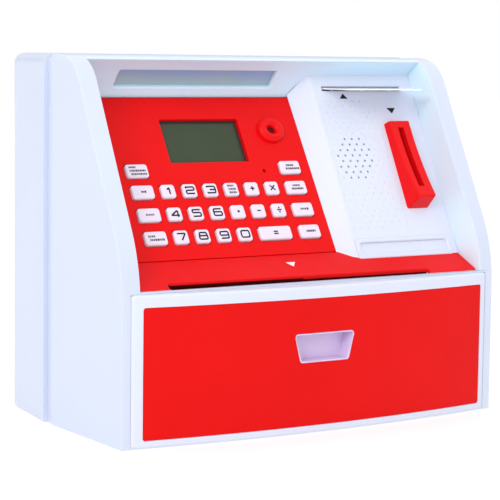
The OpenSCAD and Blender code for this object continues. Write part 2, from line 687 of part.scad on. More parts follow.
// A point behind the fascia at depth h, in line with the board's power plug
function behind_plug(h) = [-17, fascia_y + plug_s * sin(fascia_tilt) + h * cos(fascia_tilt),
    fascia_z + plug_s * cos(fascia_tilt) - h * sin(fascia_tilt)];
module wire_run(pts) for (i = [0:len(pts) - 2]) let (a = pts[i], b = pts[i + 1], d = b - a) {
    translate(a) rotate([0, acos(d[2] / norm(d)), atan2(d[1], d[0])])
        cylinder(h = norm(d), r = lead_r, $fn = 16);
    if (i < len(pts) - 2) translate(b) sphere(r = lead_r + 0.1, $fn = 16);
}
module wiring() for (i = [0:1]) color(i == 0 ? red : [0.1, 0.1, 0.1]) translate([i * lead_gap, 0, 0])
    wire_run([[bay_x + lead_in, lead_y, bay_z[1] + bay_wall], [bay_x + lead_in, lead_y, 168],
        behind_plug(plug_face + 12), behind_plug(plug_face)]);

// ---------------------------------------------------------------- drawing

front_shell();
rear_cover();
base_plate();
header_panel();
header_window();
keypad_fascia();
banknote_ledge();
service_panel();
coin_slot_bezel();
lcd_module();
camera_ring();
camera_lens();
bank_card();
drawer_tray();
drawer_front();
drawer_inlay();
drawer_pull();
keypad_mat();
main_board();
speaker();
coin_chute();
card_guide();
card_sensor();
battery_box();
batteries();
battery_contacts();
battery_door();
wiring();
drawer_rails();
latch_bracket();
latch_lever();
latch_pin();
latch_coil();
case_screws();
feet();
for (k = KEYS) key(k);
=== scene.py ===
"""Looks of the toy cash machine savings bank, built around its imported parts.

Every size below is in millimetres, in the part's own frame: X to the right, +Y to the back,
Z up, floor at 0. Meshes are made in millimetres and scaled to metres once, in add_piece().
"""
import json
import random
from math import acos, atan2, copysign, cos, degrees, hypot, pi, radians, sin, sqrt, tan

import bmesh
import bpy
from mathutils import Matrix, Vector


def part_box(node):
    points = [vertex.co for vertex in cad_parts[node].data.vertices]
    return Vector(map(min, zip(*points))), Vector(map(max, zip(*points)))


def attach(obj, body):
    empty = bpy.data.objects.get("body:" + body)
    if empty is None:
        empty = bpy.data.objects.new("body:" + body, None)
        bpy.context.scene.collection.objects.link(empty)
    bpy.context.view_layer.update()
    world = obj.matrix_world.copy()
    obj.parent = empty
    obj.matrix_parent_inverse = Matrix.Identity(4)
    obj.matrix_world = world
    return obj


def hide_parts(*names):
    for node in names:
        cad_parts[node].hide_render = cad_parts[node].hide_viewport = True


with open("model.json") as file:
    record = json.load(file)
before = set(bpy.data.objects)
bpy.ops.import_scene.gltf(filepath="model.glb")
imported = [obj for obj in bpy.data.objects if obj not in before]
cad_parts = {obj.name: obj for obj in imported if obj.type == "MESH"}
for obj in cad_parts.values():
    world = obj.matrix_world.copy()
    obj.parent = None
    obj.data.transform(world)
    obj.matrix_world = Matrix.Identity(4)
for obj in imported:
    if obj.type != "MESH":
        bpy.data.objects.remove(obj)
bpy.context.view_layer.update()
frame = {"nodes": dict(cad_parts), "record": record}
MM = 0.001
random.seed(7)

# ---- sizes


def box_mm(node):
    """Lowest and highest corner of a CAD node, in millimetres."""
    low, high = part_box(node)
    return low / MM, high / MM


shell_low, shell_high = box_mm("front_shell")
cover_low, cover_high = box_mm("rear_cover")
drawer_low, drawer_high = box_mm("drawer_front")
card_low, card_high = box_mm("bank_card")

HALF_W = shell_high.x  # half the front shell's width
TOP = shell_high.z  # its roof
FLOOR = shell_low.z  # underside of the shell, above the feet's tread
FRONT = shell_low.y  # upright front plane of the bezels
BEZEL_W = 10.5
INNER_X = HALF_W - BEZEL_W  # inner wall of each bezel
PANEL_X = INNER_X - 0.3  # ends of the recessed panels
EDGE_X = INNER_X - 0.08  # ends of the panels as they are seen
RIM_X = HALF_W - 5  # sides of the drawer opening
WALL = 2.6
SEAM_Y = 10  # back edge of the front shell's sides
NECK_IN = 2  # step from the shell's outside down to its neck
FAR = 100  # reach of a cutter well past the case
FLARE = 2.2  # opening of the right side at its lower front corner
FLARE_BACK_Y, FLARE_H = -42, 52  # where that flare ends, back and up

COVER_Y = cover_low.y  # front edge of the rear cover
COVER_LEAN = radians(8)  # how far its sides turn in towards the back
COVER_FOOT_R, COVER_TOP_R, COVER_BACK_R, COVER_RIM_R = 1.6, 6, 14, 1.5
SCREWS = [(x, z) for x in (-106, 106) for z in (84, 176)]
SCREW_HEAD_R, SCREW_R, BOSS_R = 3.4, 1.75, 4
BAR_LOW = drawer_high.z + 0.5  # bar between the drawer and the ledge
BAR_HIGH = BAR_LOW + 1.1

SLOPE = radians(27)  # bezels, card and coin panel
FASCIA = radians(31.2)  # keypad panel
BEND_R, BEND_Z = 85, 72  # bend from the upright front to the slope
BROW_R = 25  # bend from the slope to the roof
BEND_Y = FRONT + BEND_R
BROW_Z = TOP - BROW_R
BEND_END_Y = BEND_Y - BEND_R * cos(SLOPE)
BEND_END_Z = BEND_Z + BEND_R * sin(SLOPE)
BROW_Y = (BEND_END_Y + tan(SLOPE) * (BROW_Z + BROW_R * sin(SLOPE) - BEND_END_Z)
          + BROW_R * cos(SLOPE))
LIP_Z = TOP - WALL  # underside of the roof edge
LIP_Y = BROW_Y - sqrt(BROW_R ** 2 - (BROW_R - WALL) ** 2)

# The island is the card and coin panel, which stands out beside the keypad
ISLAND_Z = 88.9
ISLAND_Y = BEND_END_Y + tan(SLOPE) * (ISLAND_Z - BEND_END_Z) + 19.9
ISLAND_LEN = 112.1
ISLAND_X, ISLAND_FOOT_X = 38.5, 28.5
FASCIA_Y, FASCIA_Z, FASCIA_LEN = ISLAND_Y + 6.3, 92.3, 97.5
FASCIA_TOP_Y = FASCIA_Y + FASCIA_LEN * sin(FASCIA)
FASCIA_TOP_Z = FASCIA_Z + FASCIA_LEN * cos(FASCIA)
LEDGE_Y, LEDGE_Z = FRONT + 2, BAR_HIGH
LEDGE_TILT = atan2(FASCIA_Z - LEDGE_Z - 0.2, FASCIA_Y - LEDGE_Y)
LEDGE_LEN = hypot(FASCIA_Y - LEDGE_Y, FASCIA_Z - LEDGE_Z - 0.2)
HEADER_RUN = FASCIA_TOP_Y + 2.2 - LIP_Y
HEADER_LEN = hypot(HEADER_RUN, LIP_Z - FASCIA_TOP_Z)
HEADER_TILT = atan2(HEADER_RUN, LIP_Z - FASCIA_TOP_Z)
HEADER_SAG, HEADER_SLICES = 2.5, 16  # hollow of the header between its two edges
SKIN = 2.4  # thickness of the panels

# On a panel, x runs across the toy and s up the panel's slope. A box is x0, s0, x1, s1.
NOTE_X, NOTE_DEPTH = (-90, 78), (5.3, 4.2)  # banknote slot, deeper at its left end
HEADER_WINDOW = (-85, 9.8, 15.5, 21.6)  # its s runs down from the lip
LCD_OPENING = (-60.5, 57.4, -10.5, 84)
RING_AT, MIC_AT = (9.2, 76.1), (-2.5, 51.3)
RING_R, TORUS_R, TORUS_Z = 5.5, 3.1, 0.25  # rounded part of the lens ring
RING_HOLE_R, LENS_R = 2.4, 2.38
RING_OVAL = 0.9  # height of the lens ring over its width
POCKET = (42.3, 1.8, 103, 8.4)
POCKET_FRAME_H, POCKET_FLOOR = 0.8, -0.5  # heights over the face of the island
SOFT_EDGE = 1.8  # rounding of the island's left edge
COIN_X, COIN_S = (82, 97.2), (27.8, 81.2)
COIN_SLOT = (87.5, 38, 91.5, 76.5)
COIN_TOP_H, COIN_FOOT_H, COIN_SAG, COIN_EDGE = 5, 10.5, 6, 1.1
COIN_FOOT_S, COIN_TOP_S = COIN_S[0] + 3.5, COIN_S[1] - 0.8
COIN_LEAN = (0.25, -0.02)  # lean of the left and right flank, per mm of height
GRID_X, GRID_S, PITCH, ROW = 56.65, 60, 5, 3.4
GRID_ROWS, GRID_COLUMNS, HOLE_R = range(-7, 17), 7, 0.72
SPEAKER_ROWS = [(-1, 3), (-1.5, 4), (-2, 5), (-2.5, 5), (-2, 5), (-2.5, 5), (-2, 4), (-1.5, 3)]
RIBS_X = (52, 73, 93)  # ribs under the card
LINE_X, LINE_S = 78.8, (17, 93.7)  # fine moulded line beside the dimples
CARD_ARROW_AT, COIN_ARROW_AT, NOTE_ARROW_AT = (58.6, 98.8), (90.2, 89.4), (-6.7, 16.2)

KEY_PITCH_X, KEY_PITCH_S = 13.23, 13.6
KEY_W, SIDE_W, KEY_L, KEY_RISE = 8.6, 13.4, 8.1, 1.5
KEY_R, KEY_EDGE, KEY_FLANGE = 1.7, 0.95, 0.6
LEFT_COLUMN, RIGHT_COLUMN, FIRST_DIGIT, FIRST_ROW, TOP_ROW_DROP = -83.4, 14.3, -67.9, 12.7, 1
KEY_ROWS = [("menu", "", "enter"), ("account", "1 2 3 memory plus times", "clear"),
            ("deposit", "4 5 6 point minus divide", "withdraw"), ("clock", "7 8 9 0 equals", "alarm")]

DRAWER_X = drawer_high.x
DRAWER_Z = (drawer_low.z, drawer_high.z)
DRAWER_BACK = drawer_high.y
FRONT_BOW = FRONT - drawer_low.y
BOW_R = (HALF_W ** 2 + FRONT_BOW ** 2) / (2 * FRONT_BOW)
BOW_Y = FRONT - FRONT_BOW + BOW_R
INLAY_X, INLAY_Z = (6 - DRAWER_X, DRAWER_X - 3.8), (4.2, DRAWER_Z[1] - 6.1)
INLAY_SINK, INLAY_T = 0.4, 1.1
BOW_STEP = 5  # width of the slices that follow the bow
PULL_X, PULL_TOP_W, PULL_BOTTOM_W, PULL_Z = -1.7, 36, 28, (39.6, 52.2)
PULL_DEPTH, PULL_WALL = 9.5, 1.6

# ---- frames


def at(x, y, z=0.0):
    """A shift."""
    return Matrix.Translation((x, y, z))


def above(z):
    """A shift along a panel's own normal."""
    return at(0, 0, z)


def panel_frame(y, z, tilt):
    """Local x along the panel, y up its slope, z out of its face; tilt is back from vertical."""
    return at(0, y, z) @ Matrix.Rotation(pi / 2 - tilt, 4, "X")


ON_FASCIA = panel_frame(FASCIA_Y, FASCIA_Z, FASCIA)
ON_ISLAND = panel_frame(ISLAND_Y, ISLAND_Z, SLOPE)
ON_LEDGE = panel_frame(LEDGE_Y, LEDGE_Z, pi / 2 - LEDGE_TILT)
# The header's y runs up towards the lip and its z out of the toy, to the front and down
ON_HEADER = panel_frame(LIP_Y, LIP_Z, -HEADER_TILT)


# ---- materials


def put(node, **values):
    """Sets or links a node's inputs by name, with _ for each space."""
    for name, value in values.items():
        socket = node.inputs[name.replace("_", " ")]
        if isinstance(value, bpy.types.NodeSocket):
            node.id_data.links.new(value, socket)
        else:
            socket.default_value = value


def add(tree, kind, **values):
    node = tree.nodes.new("ShaderNode" + kind)
    put(node, **values)
    return node


def new_material(name):
    mat = bpy.data.materials.new(name)
    mat.use_nodes = True
    tree = mat.node_tree
    tree.nodes.clear()
    shader = add(tree, "BsdfPrincipled")
    add(tree, "OutputMaterial", Surface=shader.outputs[0])
    return mat, tree, shader


def noise(tree, scale, detail=2.0, roughness=0.5, stretch=(1, 1, 1)):
    """Noise in the object's own coordinates, which are metres in the part's frame."""
    mapping = add(tree, "Mapping", Vector=add(tree, "TexCoord").outputs["Object"], Scale=stretch)
    return add(tree, "TexNoise", Vector=mapping.outputs[0], Scale=scale, Detail=detail,
               Roughness=roughness).outputs[0]


def ramp(tree, value, low, high, positions=(0.3, 0.7)):
    """A colour ramp between two colours, or two greys for a roughness."""
    node = add(tree, "ValToRGB", Fac=value)
    for element, position, colour in zip(node.color_ramp.elements, positions, (low, high)):
        element.position = position
        element.color = (*colour, 1) if hasattr(colour, "__len__") else (colour, colour, colour, 1)
    return node.outputs[0]


def axis(tree, coordinate, letter):
    """One axis of the object's own or generated coordinates."""
    return add(tree, "SeparateXYZ", Vector=add(tree, "TexCoord").outputs[coordinate]).outputs[letter]


def scaled(tree, value, factor):
    """A multiply-add node that scales a value; its third input is what gets added."""
    node = add(tree, "Math")
    node.operation = "MULTIPLY_ADD"
    tree.links.new(value, node.inputs[0])
    node.inputs[1].default_value = factor
    return node


def plastic(name, colour, roughness, grain, grain_scale=5000, coat=0.0, subsurface=0.0, tint=0.03,
            specular=0.5):
    """Moulded plastic: slow colour drift, uneven sheen, and a fine spark-eroded grain."""
    mat, tree, shader = new_material(name)
    low = tuple(c * (1 - tint) for c in colour)
    high = tuple(min(1, c * (1 + tint)) for c in colour)
    put(shader, Base_Color=ramp(tree, noise(tree, 18, 3), low, high),
        Roughness=ramp(tree, noise(tree, 420, 4, 0.6), roughness * 0.88, roughness * 1.14),
        Specular_IOR_Level=specular, Coat_Weight=coat, Coat_Roughness=0.12)
    if subsurface:
        put(shader, Subsurface_Weight=subsurface, Subsurface_Scale=0.004, Subsurface_Radius=(1.0, 0.9, 0.85))
    if grain:
        bump = add(tree, "Bump", Strength=grain, Distance=0.0002, Height=noise(tree, grain_scale, 2))
        put(shader, Normal=bump.outputs[0])
    return mat


def metal(name, colour, roughness, stretch=(1, 1, 30)):
    """Brushed or drawn metal with streaks along one axis."""
    mat, tree, shader = new_material(name)
    streaks = noise(tree, 900, 3, 0.6, stretch)
    put(shader, Base_Color=ramp(tree, streaks, tuple(c * 0.86 for c in colour), colour),
        Roughness=ramp(tree, streaks, roughness * 0.7, roughness * 1.3), Metallic=1.0)
    return mat


def display_glass():
    """Blank liquid crystal glass: grey-green with a faint vertical drift."""
    mat, tree, shader = new_material("display_glass")
    drift = noise(tree, 24, 2, 0.5, (1, 1, 0.3))
    put(shader, Base_Color=ramp(tree, drift, (0.030, 0.048, 0.023), (0.038, 0.058, 0.029)),
        Roughness=ramp(tree, noise(tree, 700, 3), 0.30, 0.40), Specular_IOR_Level=0.3)
    return mat


def smoked_mirror():
    """Grey glossy strip with painted reflections: bluer towards its top edge, with soft patches of blue along
    it.
    """
    mat, tree, shader = new_material("smoked_mirror")
    # painted reflection: blue that grows towards the strip's top edge, with soft blue patches
    height = add(tree, "MapRange", Value=axis(tree, "Object", "Z"), From_Min=0.1815, From_Max=0.1895)
    rise = scaled(tree, height.outputs[0], 0.7)
    rise.inputs[2].default_value = -0.45
    painted_reflection = scaled(tree, noise(tree, 30, 1.0, 0.4, (1, 0.6, 0.6)), 0.9)
    tree.links.new(rise.outputs[0], painted_reflection.inputs[2])
    put(shader, Base_Color=ramp(tree, painted_reflection.outputs[0], (0.33, 0.46, 0.51), (0.24, 0.40, 0.68), (0.3, 0.9)),
        Roughness=ramp(tree, noise(tree, 300, 2), 0.28, 0.36), Specular_IOR_Level=0.3)
    return mat


def circuit_laminate():
    """Green solder mask with lighter traces."""
    mat, tree, shader = new_material("circuit_laminate")
    traces = noise(tree, 260, 1, 0.3, (3, 1, 1))
    put(shader, Base_Color=ramp(tree, traces, (0.008, 0.075, 0.025), (0.02, 0.16, 0.06), (0.48, 0.52)),
        Roughness=ramp(tree, noise(tree, 500, 3), 0.3, 0.45))
    return mat


white_plastic = plastic("white_plastic", (0.605, 0.66, 0.80), 0.36, 0.05, 4200, subsurface=0.12, tint=0.012)
panel_white = plastic("panel_white", (0.67, 0.72, 0.85), 0.42, 0.09, 3600, subsurface=0.1, tint=0.012)
drawer_white = plastic("drawer_white", (0.655, 0.70, 0.83), 0.33, 0.04, 4200, subsurface=0.12, tint=0.012)
header_white = plastic("header_white", (0.63, 0.80, 0.95), 0.42, 0.06, 3600, subsurface=0.1, tint=0.012)
# painted light: a lighter, bluer copy of the shell's white for the bezels' inner walls, against their shade
# and red bounce
cheek_white_painted_light = plastic("cheek_white_painted_light", (0.70, 0.86, 0.97), 0.42, 0.06, 3600, subsurface=0.1, tint=0.012)
# painted shade: the white cup is coloured lilac, as its hollow looks in shade
cup_white_painted_shade = plastic("cup_white_painted_shade", (0.70, 0.57, 0.81), 0.3, 0.02, 4200, subsurface=0.25, tint=0.01)
red_plastic = plastic("red_plastic", (0.74, 0.002, 0.003), 0.40, 0.06, 3800, tint=0.04, specular=0.12)
red_gloss = plastic("red_gloss", (0.76, 0.003, 0.005), 0.30, 0, tint=0.02, specular=0.15)
red_sheet = plastic("red_sheet", (0.70, 0.002, 0.002), 0.36, 0.05, 5200, tint=0.03, specular=0.12)
# painted shadow: near-black red for the shade down in the banknote slot
red_painted_shadow = plastic("red_painted_shadow", (0.06, 0.0005, 0.0005), 0.6, 0.02, 3800, tint=0.04, specular=0.05)
key_white = plastic("key_white", (0.75, 0.68, 0.80), 0.24, 0.01, 5200, subsurface=0.1, tint=0.01)
ink = plastic("print_ink", (0.006, 0.006, 0.012), 0.5, 0.03, 6000, tint=0.15, specular=0.2)
grey_ink = plastic("print_ink_fine", (0.045, 0.045, 0.06), 0.5, 0.03, 6000, tint=0.15, specular=0.2)
white_ink = plastic("print_ink_white", (0.88, 0.86, 0.88), 0.5, 0.03, 6000, tint=0.03)
card_white = plastic("card_laminate", (0.88, 0.90, 0.93), 0.2, 0.01, 6000, coat=0.5, tint=0.01)
black_plastic = plastic("black_plastic", (0.018, 0.018, 0.021), 0.5, 0.1, 3500, tint=0.2)
dark_rubber = plastic("dark_rubber", (0.025, 0.025, 0.027), 0.75, 0.25, 2600, tint=0.25, specular=0.3)
grey_rubber = plastic("grey_rubber", (0.22, 0.24, 0.27), 0.7, 0.2, 2600, tint=0.1, specular=0.3)
inner_white = plastic("inner_plastic", (0.60, 0.65, 0.73), 0.55, 0.15, 2600, tint=0.04)
cell_wrap = plastic("cell_wrap", (0.03, 0.05, 0.09), 0.3, 0.01, 5000, coat=0.4, tint=0.2)
wire_red = plastic("wire_sleeve", (0.55, 0.02, 0.02), 0.5, 0.1, 3000, tint=0.1)
lens_dark = plastic("lens_dark", (0.14, 0.001, 0.002), 0.25, 0, tint=0.3, specular=0.1)
steel = metal("zinc_steel", (0.60, 0.61, 0.63), 0.32)
copper = metal("copper_winding", (0.72, 0.33, 0.14), 0.35, (1, 1, 60))
display = display_glass()
mirror_strip = smoked_mirror()
laminate = circuit_laminate()

# ---- mesh helpers


def add_piece(name, bm, body, nodes, materials, smooth=35, place=Matrix()):
    """Turns a bmesh in millimetres into a piece that rides on a body and stands for CAD nodes."""
    moved(bm, place)
    bmesh.ops.scale(bm, vec=(MM, MM, MM), verts=bm.verts)
    bmesh.ops.recalc_face_normals(bm, faces=bm.faces)
    mesh = bpy.data.meshes.new(name)
    bm.to_mesh(mesh)
    bm.free()
    for mat in materials:
        mesh.materials.append(mat)
    piece = bpy.data.objects.new(name, mesh)
    bpy.context.scene.collection.objects.link(piece)
    shade(piece, smooth)
    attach(piece, body)
    if nodes:
        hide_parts(*nodes)


def shade(piece, angle):
    """Smooth faces, with edges sharper than the angle kept crisp, and normals led by the large faces."""
    mesh = piece.data
    mesh.shade_smooth()
    mesh.set_sharp_from_angle(angle=radians(angle))
    weighted = piece.modifiers.new("weighted", "WEIGHTED_NORMAL")
    weighted.keep_sharp = True
    weighted.weight = 60


def arc(cx, cy, r, a0, a1, steps):
    """Points of an arc in degrees."""
    angles = [radians(a0 + (a1 - a0) * i / steps) for i in range(steps + 1)]
    return [Vector((cx + r * cos(a), cy + r * sin(a))) for a in angles]


def rounded(points, radii, steps=6):
    """A closed outline with each corner rounded by its own radius."""
    if not hasattr(radii, "__len__"):
        radii = [radii] * len(points)
    points = [Vector(p) for p in points]
    out = []
    for i, p in enumerate(points):
        a = (points[i - 1] - p).normalized()
        b = (points[(i + 1) % len(points)] - p).normalized()
        r = radii[i]
        if r <= 0:
            out.append(p)
            continue
        half = acos(max(-1, min(1, a.dot(b)))) / 2
        centre = p + (a + b).normalized() * (r / sin(half))
        start, end = p + a * (r / tan(half)), p + b * (r / tan(half))
        va, vb = start - centre, end - centre
        sweep = va.angle_signed(vb)
        for k in range(steps + 1):
            out.append(centre + Matrix.Rotation(-sweep * k / steps, 2) @ va)
    return out


def rectangle(x0, y0, x1, y1, r=0.0, steps=6):
    return rounded([(x0, y0), (x1, y0), (x1, y1), (x0, y1)], r, steps)


def circle(cx, cy, r, steps=24):
    return arc(cx, cy, r, 0, 360 - 360 / steps, steps - 1)


def area(loop):
    return sum(a.x * b.y - b.x * a.y for a, b in zip(loop, loop[1:] + loop[:1])) / 2


def mitre(before, p, after, least):
    """The step sideways from p that is one unit off both of its edges, held back at sharp corners."""
    a, b = (p - before).normalized(), (after - p).normalized()
    na, nb = Vector((-a.y, a.x)), Vector((-b.y, b.x))
    return (na + nb) / max(least, 1 + na.dot(nb))


def inset(loop, d):
    """The loop moved by d to its left."""
    return [p + mitre(loop[i - 1], p, loop[(i + 1) % len(loop)], 0.4) * d for i, p in enumerate(loop)]


def plate(outline, holes, thickness, edge, hole_edge=0.3, steps=3, back=True, hole_depth=None):
    """A flat moulded plate, face at z = 0, with rounded edges round its outline and its holes."""
    bm = bmesh.new()
    loops = [(outline if area(outline) > 0 else outline[::-1], edge, thickness)]
    hole_depth = thickness if hole_depth is None else hole_depth
    loops += [(hole[::-1] if area(hole) > 0 else hole, hole_edge, hole_depth) for hole in holes]
    face_edges, back_edges = [], []
    for loop, r, depth in loops:
        rings = []
        count = steps if r > 0 else 0
        for k in range(count + 1):
            a = pi / 2 * k / max(1, count)
            z = -r * (1 - cos(a)) if r > 0 else 0.0
            rings.append([bm.verts.new((p.x, p.y, z)) for p in inset(loop, r * (1 - sin(a)))])
        rings.append([bm.verts.new((p.x, p.y, -depth)) for p in loop])
        n = len(loop)
        for lower, upper in zip(rings, rings[1:]):
            for i in range(n):
                bm.faces.new((lower[i - 1], lower[i], upper[i], upper[i - 1]))
        face_edges += [bm.edges.get((rings[0][i - 1], rings[0][i])) for i in range(n)]
        back_edges += [bm.edges.get((rings[-1][i - 1], rings[-1][i])) for i in range(n)]
    bmesh.ops.triangle_fill(bm, use_beauty=True, edges=face_edges, normal=(0, 0, 1))
    if back:
        bmesh.ops.triangle_fill(bm, use_beauty=True, edges=back_edges, normal=(0, 0, -1))
    return bm


def loft(loops):
    """A closed skin through a stack of loops of points, lowest first."""
    bm = bmesh.new()
    rings = [[bm.verts.new(p) for p in loop] for loop in loops]
    for low, high in zip(rings, rings[1:]):
        for i in range(len(low)):
            bm.faces.new((low[i - 1], low[i], high[i], high[i - 1]))
    bm.faces.new(rings[0][::-1])
    bm.faces.new(rings[-1])
    return bm


def prism(outline, x0, x1):
    """A Y-Z outline extruded from x0 to x1."""
    bm = loft([[(x, *p) for p in outline] for x in (x0, x1)])
    bmesh.ops.recalc_face_normals(bm, faces=bm.faces)
    return bm


def moved(bm, matrix):
    bmesh.ops.transform(bm, matrix=matrix, verts=bm.verts)
    return bm


def block(low, high):
    bm = bmesh.new()
    bmesh.ops.create_cube(bm, size=1)
    low, high = Vector(low), Vector(high)
    return moved(bm, at(*(low + high) / 2) @ Matrix.Diagonal((*(high - low), 1)))


def bevel(bm, chosen, width, segments=4):
    """Rounds the chosen edges."""
    bmesh.ops.bevel(bm, geom=chosen, offset=width, segments=segments, profile=0.5, affect="EDGES",
                    clamp_overlap=True)


def edges_where(bm, test):
    """Edges whose two ends and middle pass the test on (x, y, z)."""
    ends = [(e, e.verts[0].co, e.verts[1].co) for e in bm.edges]
    return [e for e, a, b in ends if all(test(*p) for p in (a, b, (a + b) / 2))]


def cut(bm, cutters):
    """Cuts other bmeshes from bm, uses them all up, and returns the cleaned result."""
    def temporary(source):
        mesh = bpy.data.meshes.new("temporary")
        bmesh.ops.recalc_face_normals(source, faces=source.faces)
        source.to_mesh(mesh)
        source.free()
        obj = bpy.data.objects.new("temporary", mesh)
        bpy.context.scene.collection.objects.link(obj)
        return obj
    base = temporary(bm)
    others = [temporary(c) for c in cutters]
    for other in others:
        modifier = base.modifiers.new("cut", "BOOLEAN")
        modifier.operation = "DIFFERENCE"
        modifier.solver = "EXACT"
        modifier.object = other
    result = bpy.data.meshes.new_from_object(base.evaluated_get(bpy.context.evaluated_depsgraph_get()))
    out = bmesh.new()
    out.from_mesh(result)
    for obj in [base, *others]:
        mesh = obj.data
        bpy.data.objects.remove(obj)
        bpy.data.meshes.remove(mesh)
    bpy.data.meshes.remove(result)
    bmesh.ops.remove_doubles(out, verts=out.verts, dist=0.002)
    return out


def join(bm, other, material=None):
    """Adds another bmesh, used up, to bm, with its faces in a material slot if one is given."""
    if material is not None:
        for f in other.faces:
            f.material_index = material
    mesh = bpy.data.meshes.new("temporary")
    other.to_mesh(mesh)
    other.free()
    bm.from_mesh(mesh)
    bpy.data.meshes.remove(mesh)
    return bm


def slice_at(bm, point, normal):
    """Adds the edges where a plane crosses the mesh."""
    bmesh.ops.bisect_plane(bm, geom=[*bm.verts, *bm.edges, *bm.faces], dist=0.001, plane_co=point,
                           plane_no=normal)


def lathe(profile, steps):
    """A profile of (radius, z) points turned about the z axis."""
    bm = bmesh.new()
    rings = []
    for i in range(steps):
        a = 2 * pi * i / steps
        rings.append([bm.verts.new((r * cos(a), r * sin(a), z)) for r, z in profile])
    for i in range(steps):
        for k in range(len(profile) - 1):
            bm.faces.new((rings[i - 1][k], rings[i][k], rings[i][k + 1], rings[i - 1][k + 1]))
    bmesh.ops.remove_doubles(bm, verts=bm.verts, dist=0.001)
    return bm


def stroke(points, width, height, closed=False):
    """A printed line: a flat ribbon with round ends and joints, standing just proud of its surface."""
    bm = bmesh.new()
    points = [Vector(p) for p in points]
    count = len(points)
    rows = []
    for i, p in enumerate(points):
        before = points[i - 1] if (closed or i > 0) else p - (points[1] - p)
        after = points[(i + 1) % count] if (closed or i < count - 1) else p + (p - points[i - 1])
        n = mitre(before, p, after, 0.5) * width / 2
        rows.append([bm.verts.new((*side, z)) for side, z in (
            (p + n, 0), (p + n, height), (p - n, height), (p - n, 0))])
    pairs = list(zip(rows, rows[1:])) + ([(rows[-1], rows[0])] if closed else [])
    for a, b in pairs:
        for k in range(4):
            bm.faces.new((a[k], a[(k + 1) % 4], b[(k + 1) % 4], b[k]))
    if not closed:
        bm.faces.new(rows[0])
        bm.faces.new(rows[-1][::-1])
    return bm


def soften(node, width, material):
    """A copy of a plain CAD node with its sharp edges rounded, standing for that node."""
    bm = bmesh.new()
    bm.from_mesh(frame["nodes"][node].data)
    bmesh.ops.scale(bm, vec=(1 / MM,) * 3, verts=bm.verts)
    bmesh.ops.remove_doubles(bm, verts=bm.verts, dist=0.001)
    bmesh.ops.dissolve_limit(bm, angle_limit=radians(1), verts=bm.verts, edges=bm.edges)
    sharp = [e for e in bm.edges if len(e.link_faces) == 2 and e.calc_face_angle(0) > radians(40)]
    bevel(bm, sharp, width, 3)
    add_piece(node + "_soft", bm, body_of(node), [node], [material])


def body_of(node):
    return next(b for b, members in frame["record"]["behaviour"]["bodies"].items() if node in members)


# ---- shells


def side_outline():
    """The front shell's side view, from the floor up the front, over the brow and back to the seam."""
    points = [Vector((FRONT, FLOOR))]
    points += arc(BEND_Y, BEND_Z, BEND_R, 180, 180 - degrees(SLOPE), 20)
    points += arc(BROW_Y, BROW_Z, BROW_R, 180 - degrees(SLOPE), 90, 20)
    return points + [Vector((SEAM_Y, TOP)), Vector((SEAM_Y, FLOOR))]


def front_shell():
    bm = prism(side_outline(), -HALF_W, HALF_W)

    def outer(x, y, z):
        upper = z > FLOOR + 0.1 and y < SEAM_Y - 0.01
        return abs(abs(x) - HALF_W) < 0.01 and (upper or abs(y - FRONT) < 0.01)

    bevel(bm, edges_where(bm, outer), 3.8, 6)
    bevel(bm, edges_where(bm, lambda x, y, z: abs(y - SEAM_Y) < 0.01 and z > FLOOR + 0.1), 1.7, 4)
    bar_back, beyond = FRONT + 9, SEAM_Y + 5
    recess = prism([(-FAR, BAR_HIGH), (bar_back, BAR_HIGH), (bar_back, BAR_LOW - 5), (beyond, BAR_LOW - 5),
                    (beyond, LIP_Z), (-FAR, LIP_Z)], -INNER_X, INNER_X)
    drawer_way = block((-RIM_X, -FAR, -5), (RIM_X, beyond, BAR_LOW))
    note_slot = block((NOTE_X[0], FRONT + 2, BAR_LOW - 2), (NOTE_X[1], FRONT + 10, BAR_HIGH + 2))
    bm = cut(bm, [recess, drawer_way, note_slot, flare()])
    flared_x = INNER_X + FLARE + 0.5  # anything on the bezels' inner faces is nearer than this
    for width, segments, test in (
            (2.2, 5, lambda x, y, z: (INNER_X - 0.02 < abs(x) < flared_x and z > BAR_HIGH - 0.02
                                      and outline_depth(y, z) < 0.05)),
            (0.5, 3, lambda x, y, z: (abs(x) < INNER_X + 0.1 and abs(z - LIP_Z) < 0.02
                                      and outline_depth(y, z) < 0.1)),
            (0.7, 3, lambda x, y, z: (abs(abs(x) - RIM_X) < 0.02 and abs(y - FRONT) < 0.02
                                      and z < BAR_LOW + 0.1)),
            (0.45, 3, lambda x, y, z: (abs(y - FRONT) < 0.02 and abs(x) < RIM_X + 0.1
                                       and BAR_LOW - 0.1 < z < BAR_HIGH + 0.1))):
        bevel(bm, edges_where(bm, test), width, segments)
    # the recessed neck that the rear cover slides over
    neck = block((NECK_IN - HALF_W, SEAM_Y - 1.5, FLOOR), (HALF_W - NECK_IN, COVER_Y + 0.4, TOP - NECK_IN))
    bevel(neck, edges_where(neck, lambda x, y, z: abs(z - TOP + NECK_IN) < 0.01
                            and abs(abs(x) - HALF_W + NECK_IN) < 0.01), 1.8, 4)
    inside = block((NECK_IN + WALL - HALF_W, SEAM_Y - 5, FLOOR - 5),
                   (HALF_W - NECK_IN - WALL, COVER_Y + 5, TOP - NECK_IN - WALL))
    join(bm, cut(neck, [inside]))
    # the bezels' inner walls take the lighter, bluer copy of the white: painted light over their shade and
    # red bounce
    for face in bm.faces:
        x, y, z = face.calc_center_median()
        if y < SEAM_Y - 5 and z > BAR_HIGH and face.normal.x * x < -0.6 * abs(x) and abs(x) < flared_x:
            face.material_index = 1
    add_piece("case_front", bm, "housing", ["front_shell"], [white_plastic, cheek_white_painted_light])


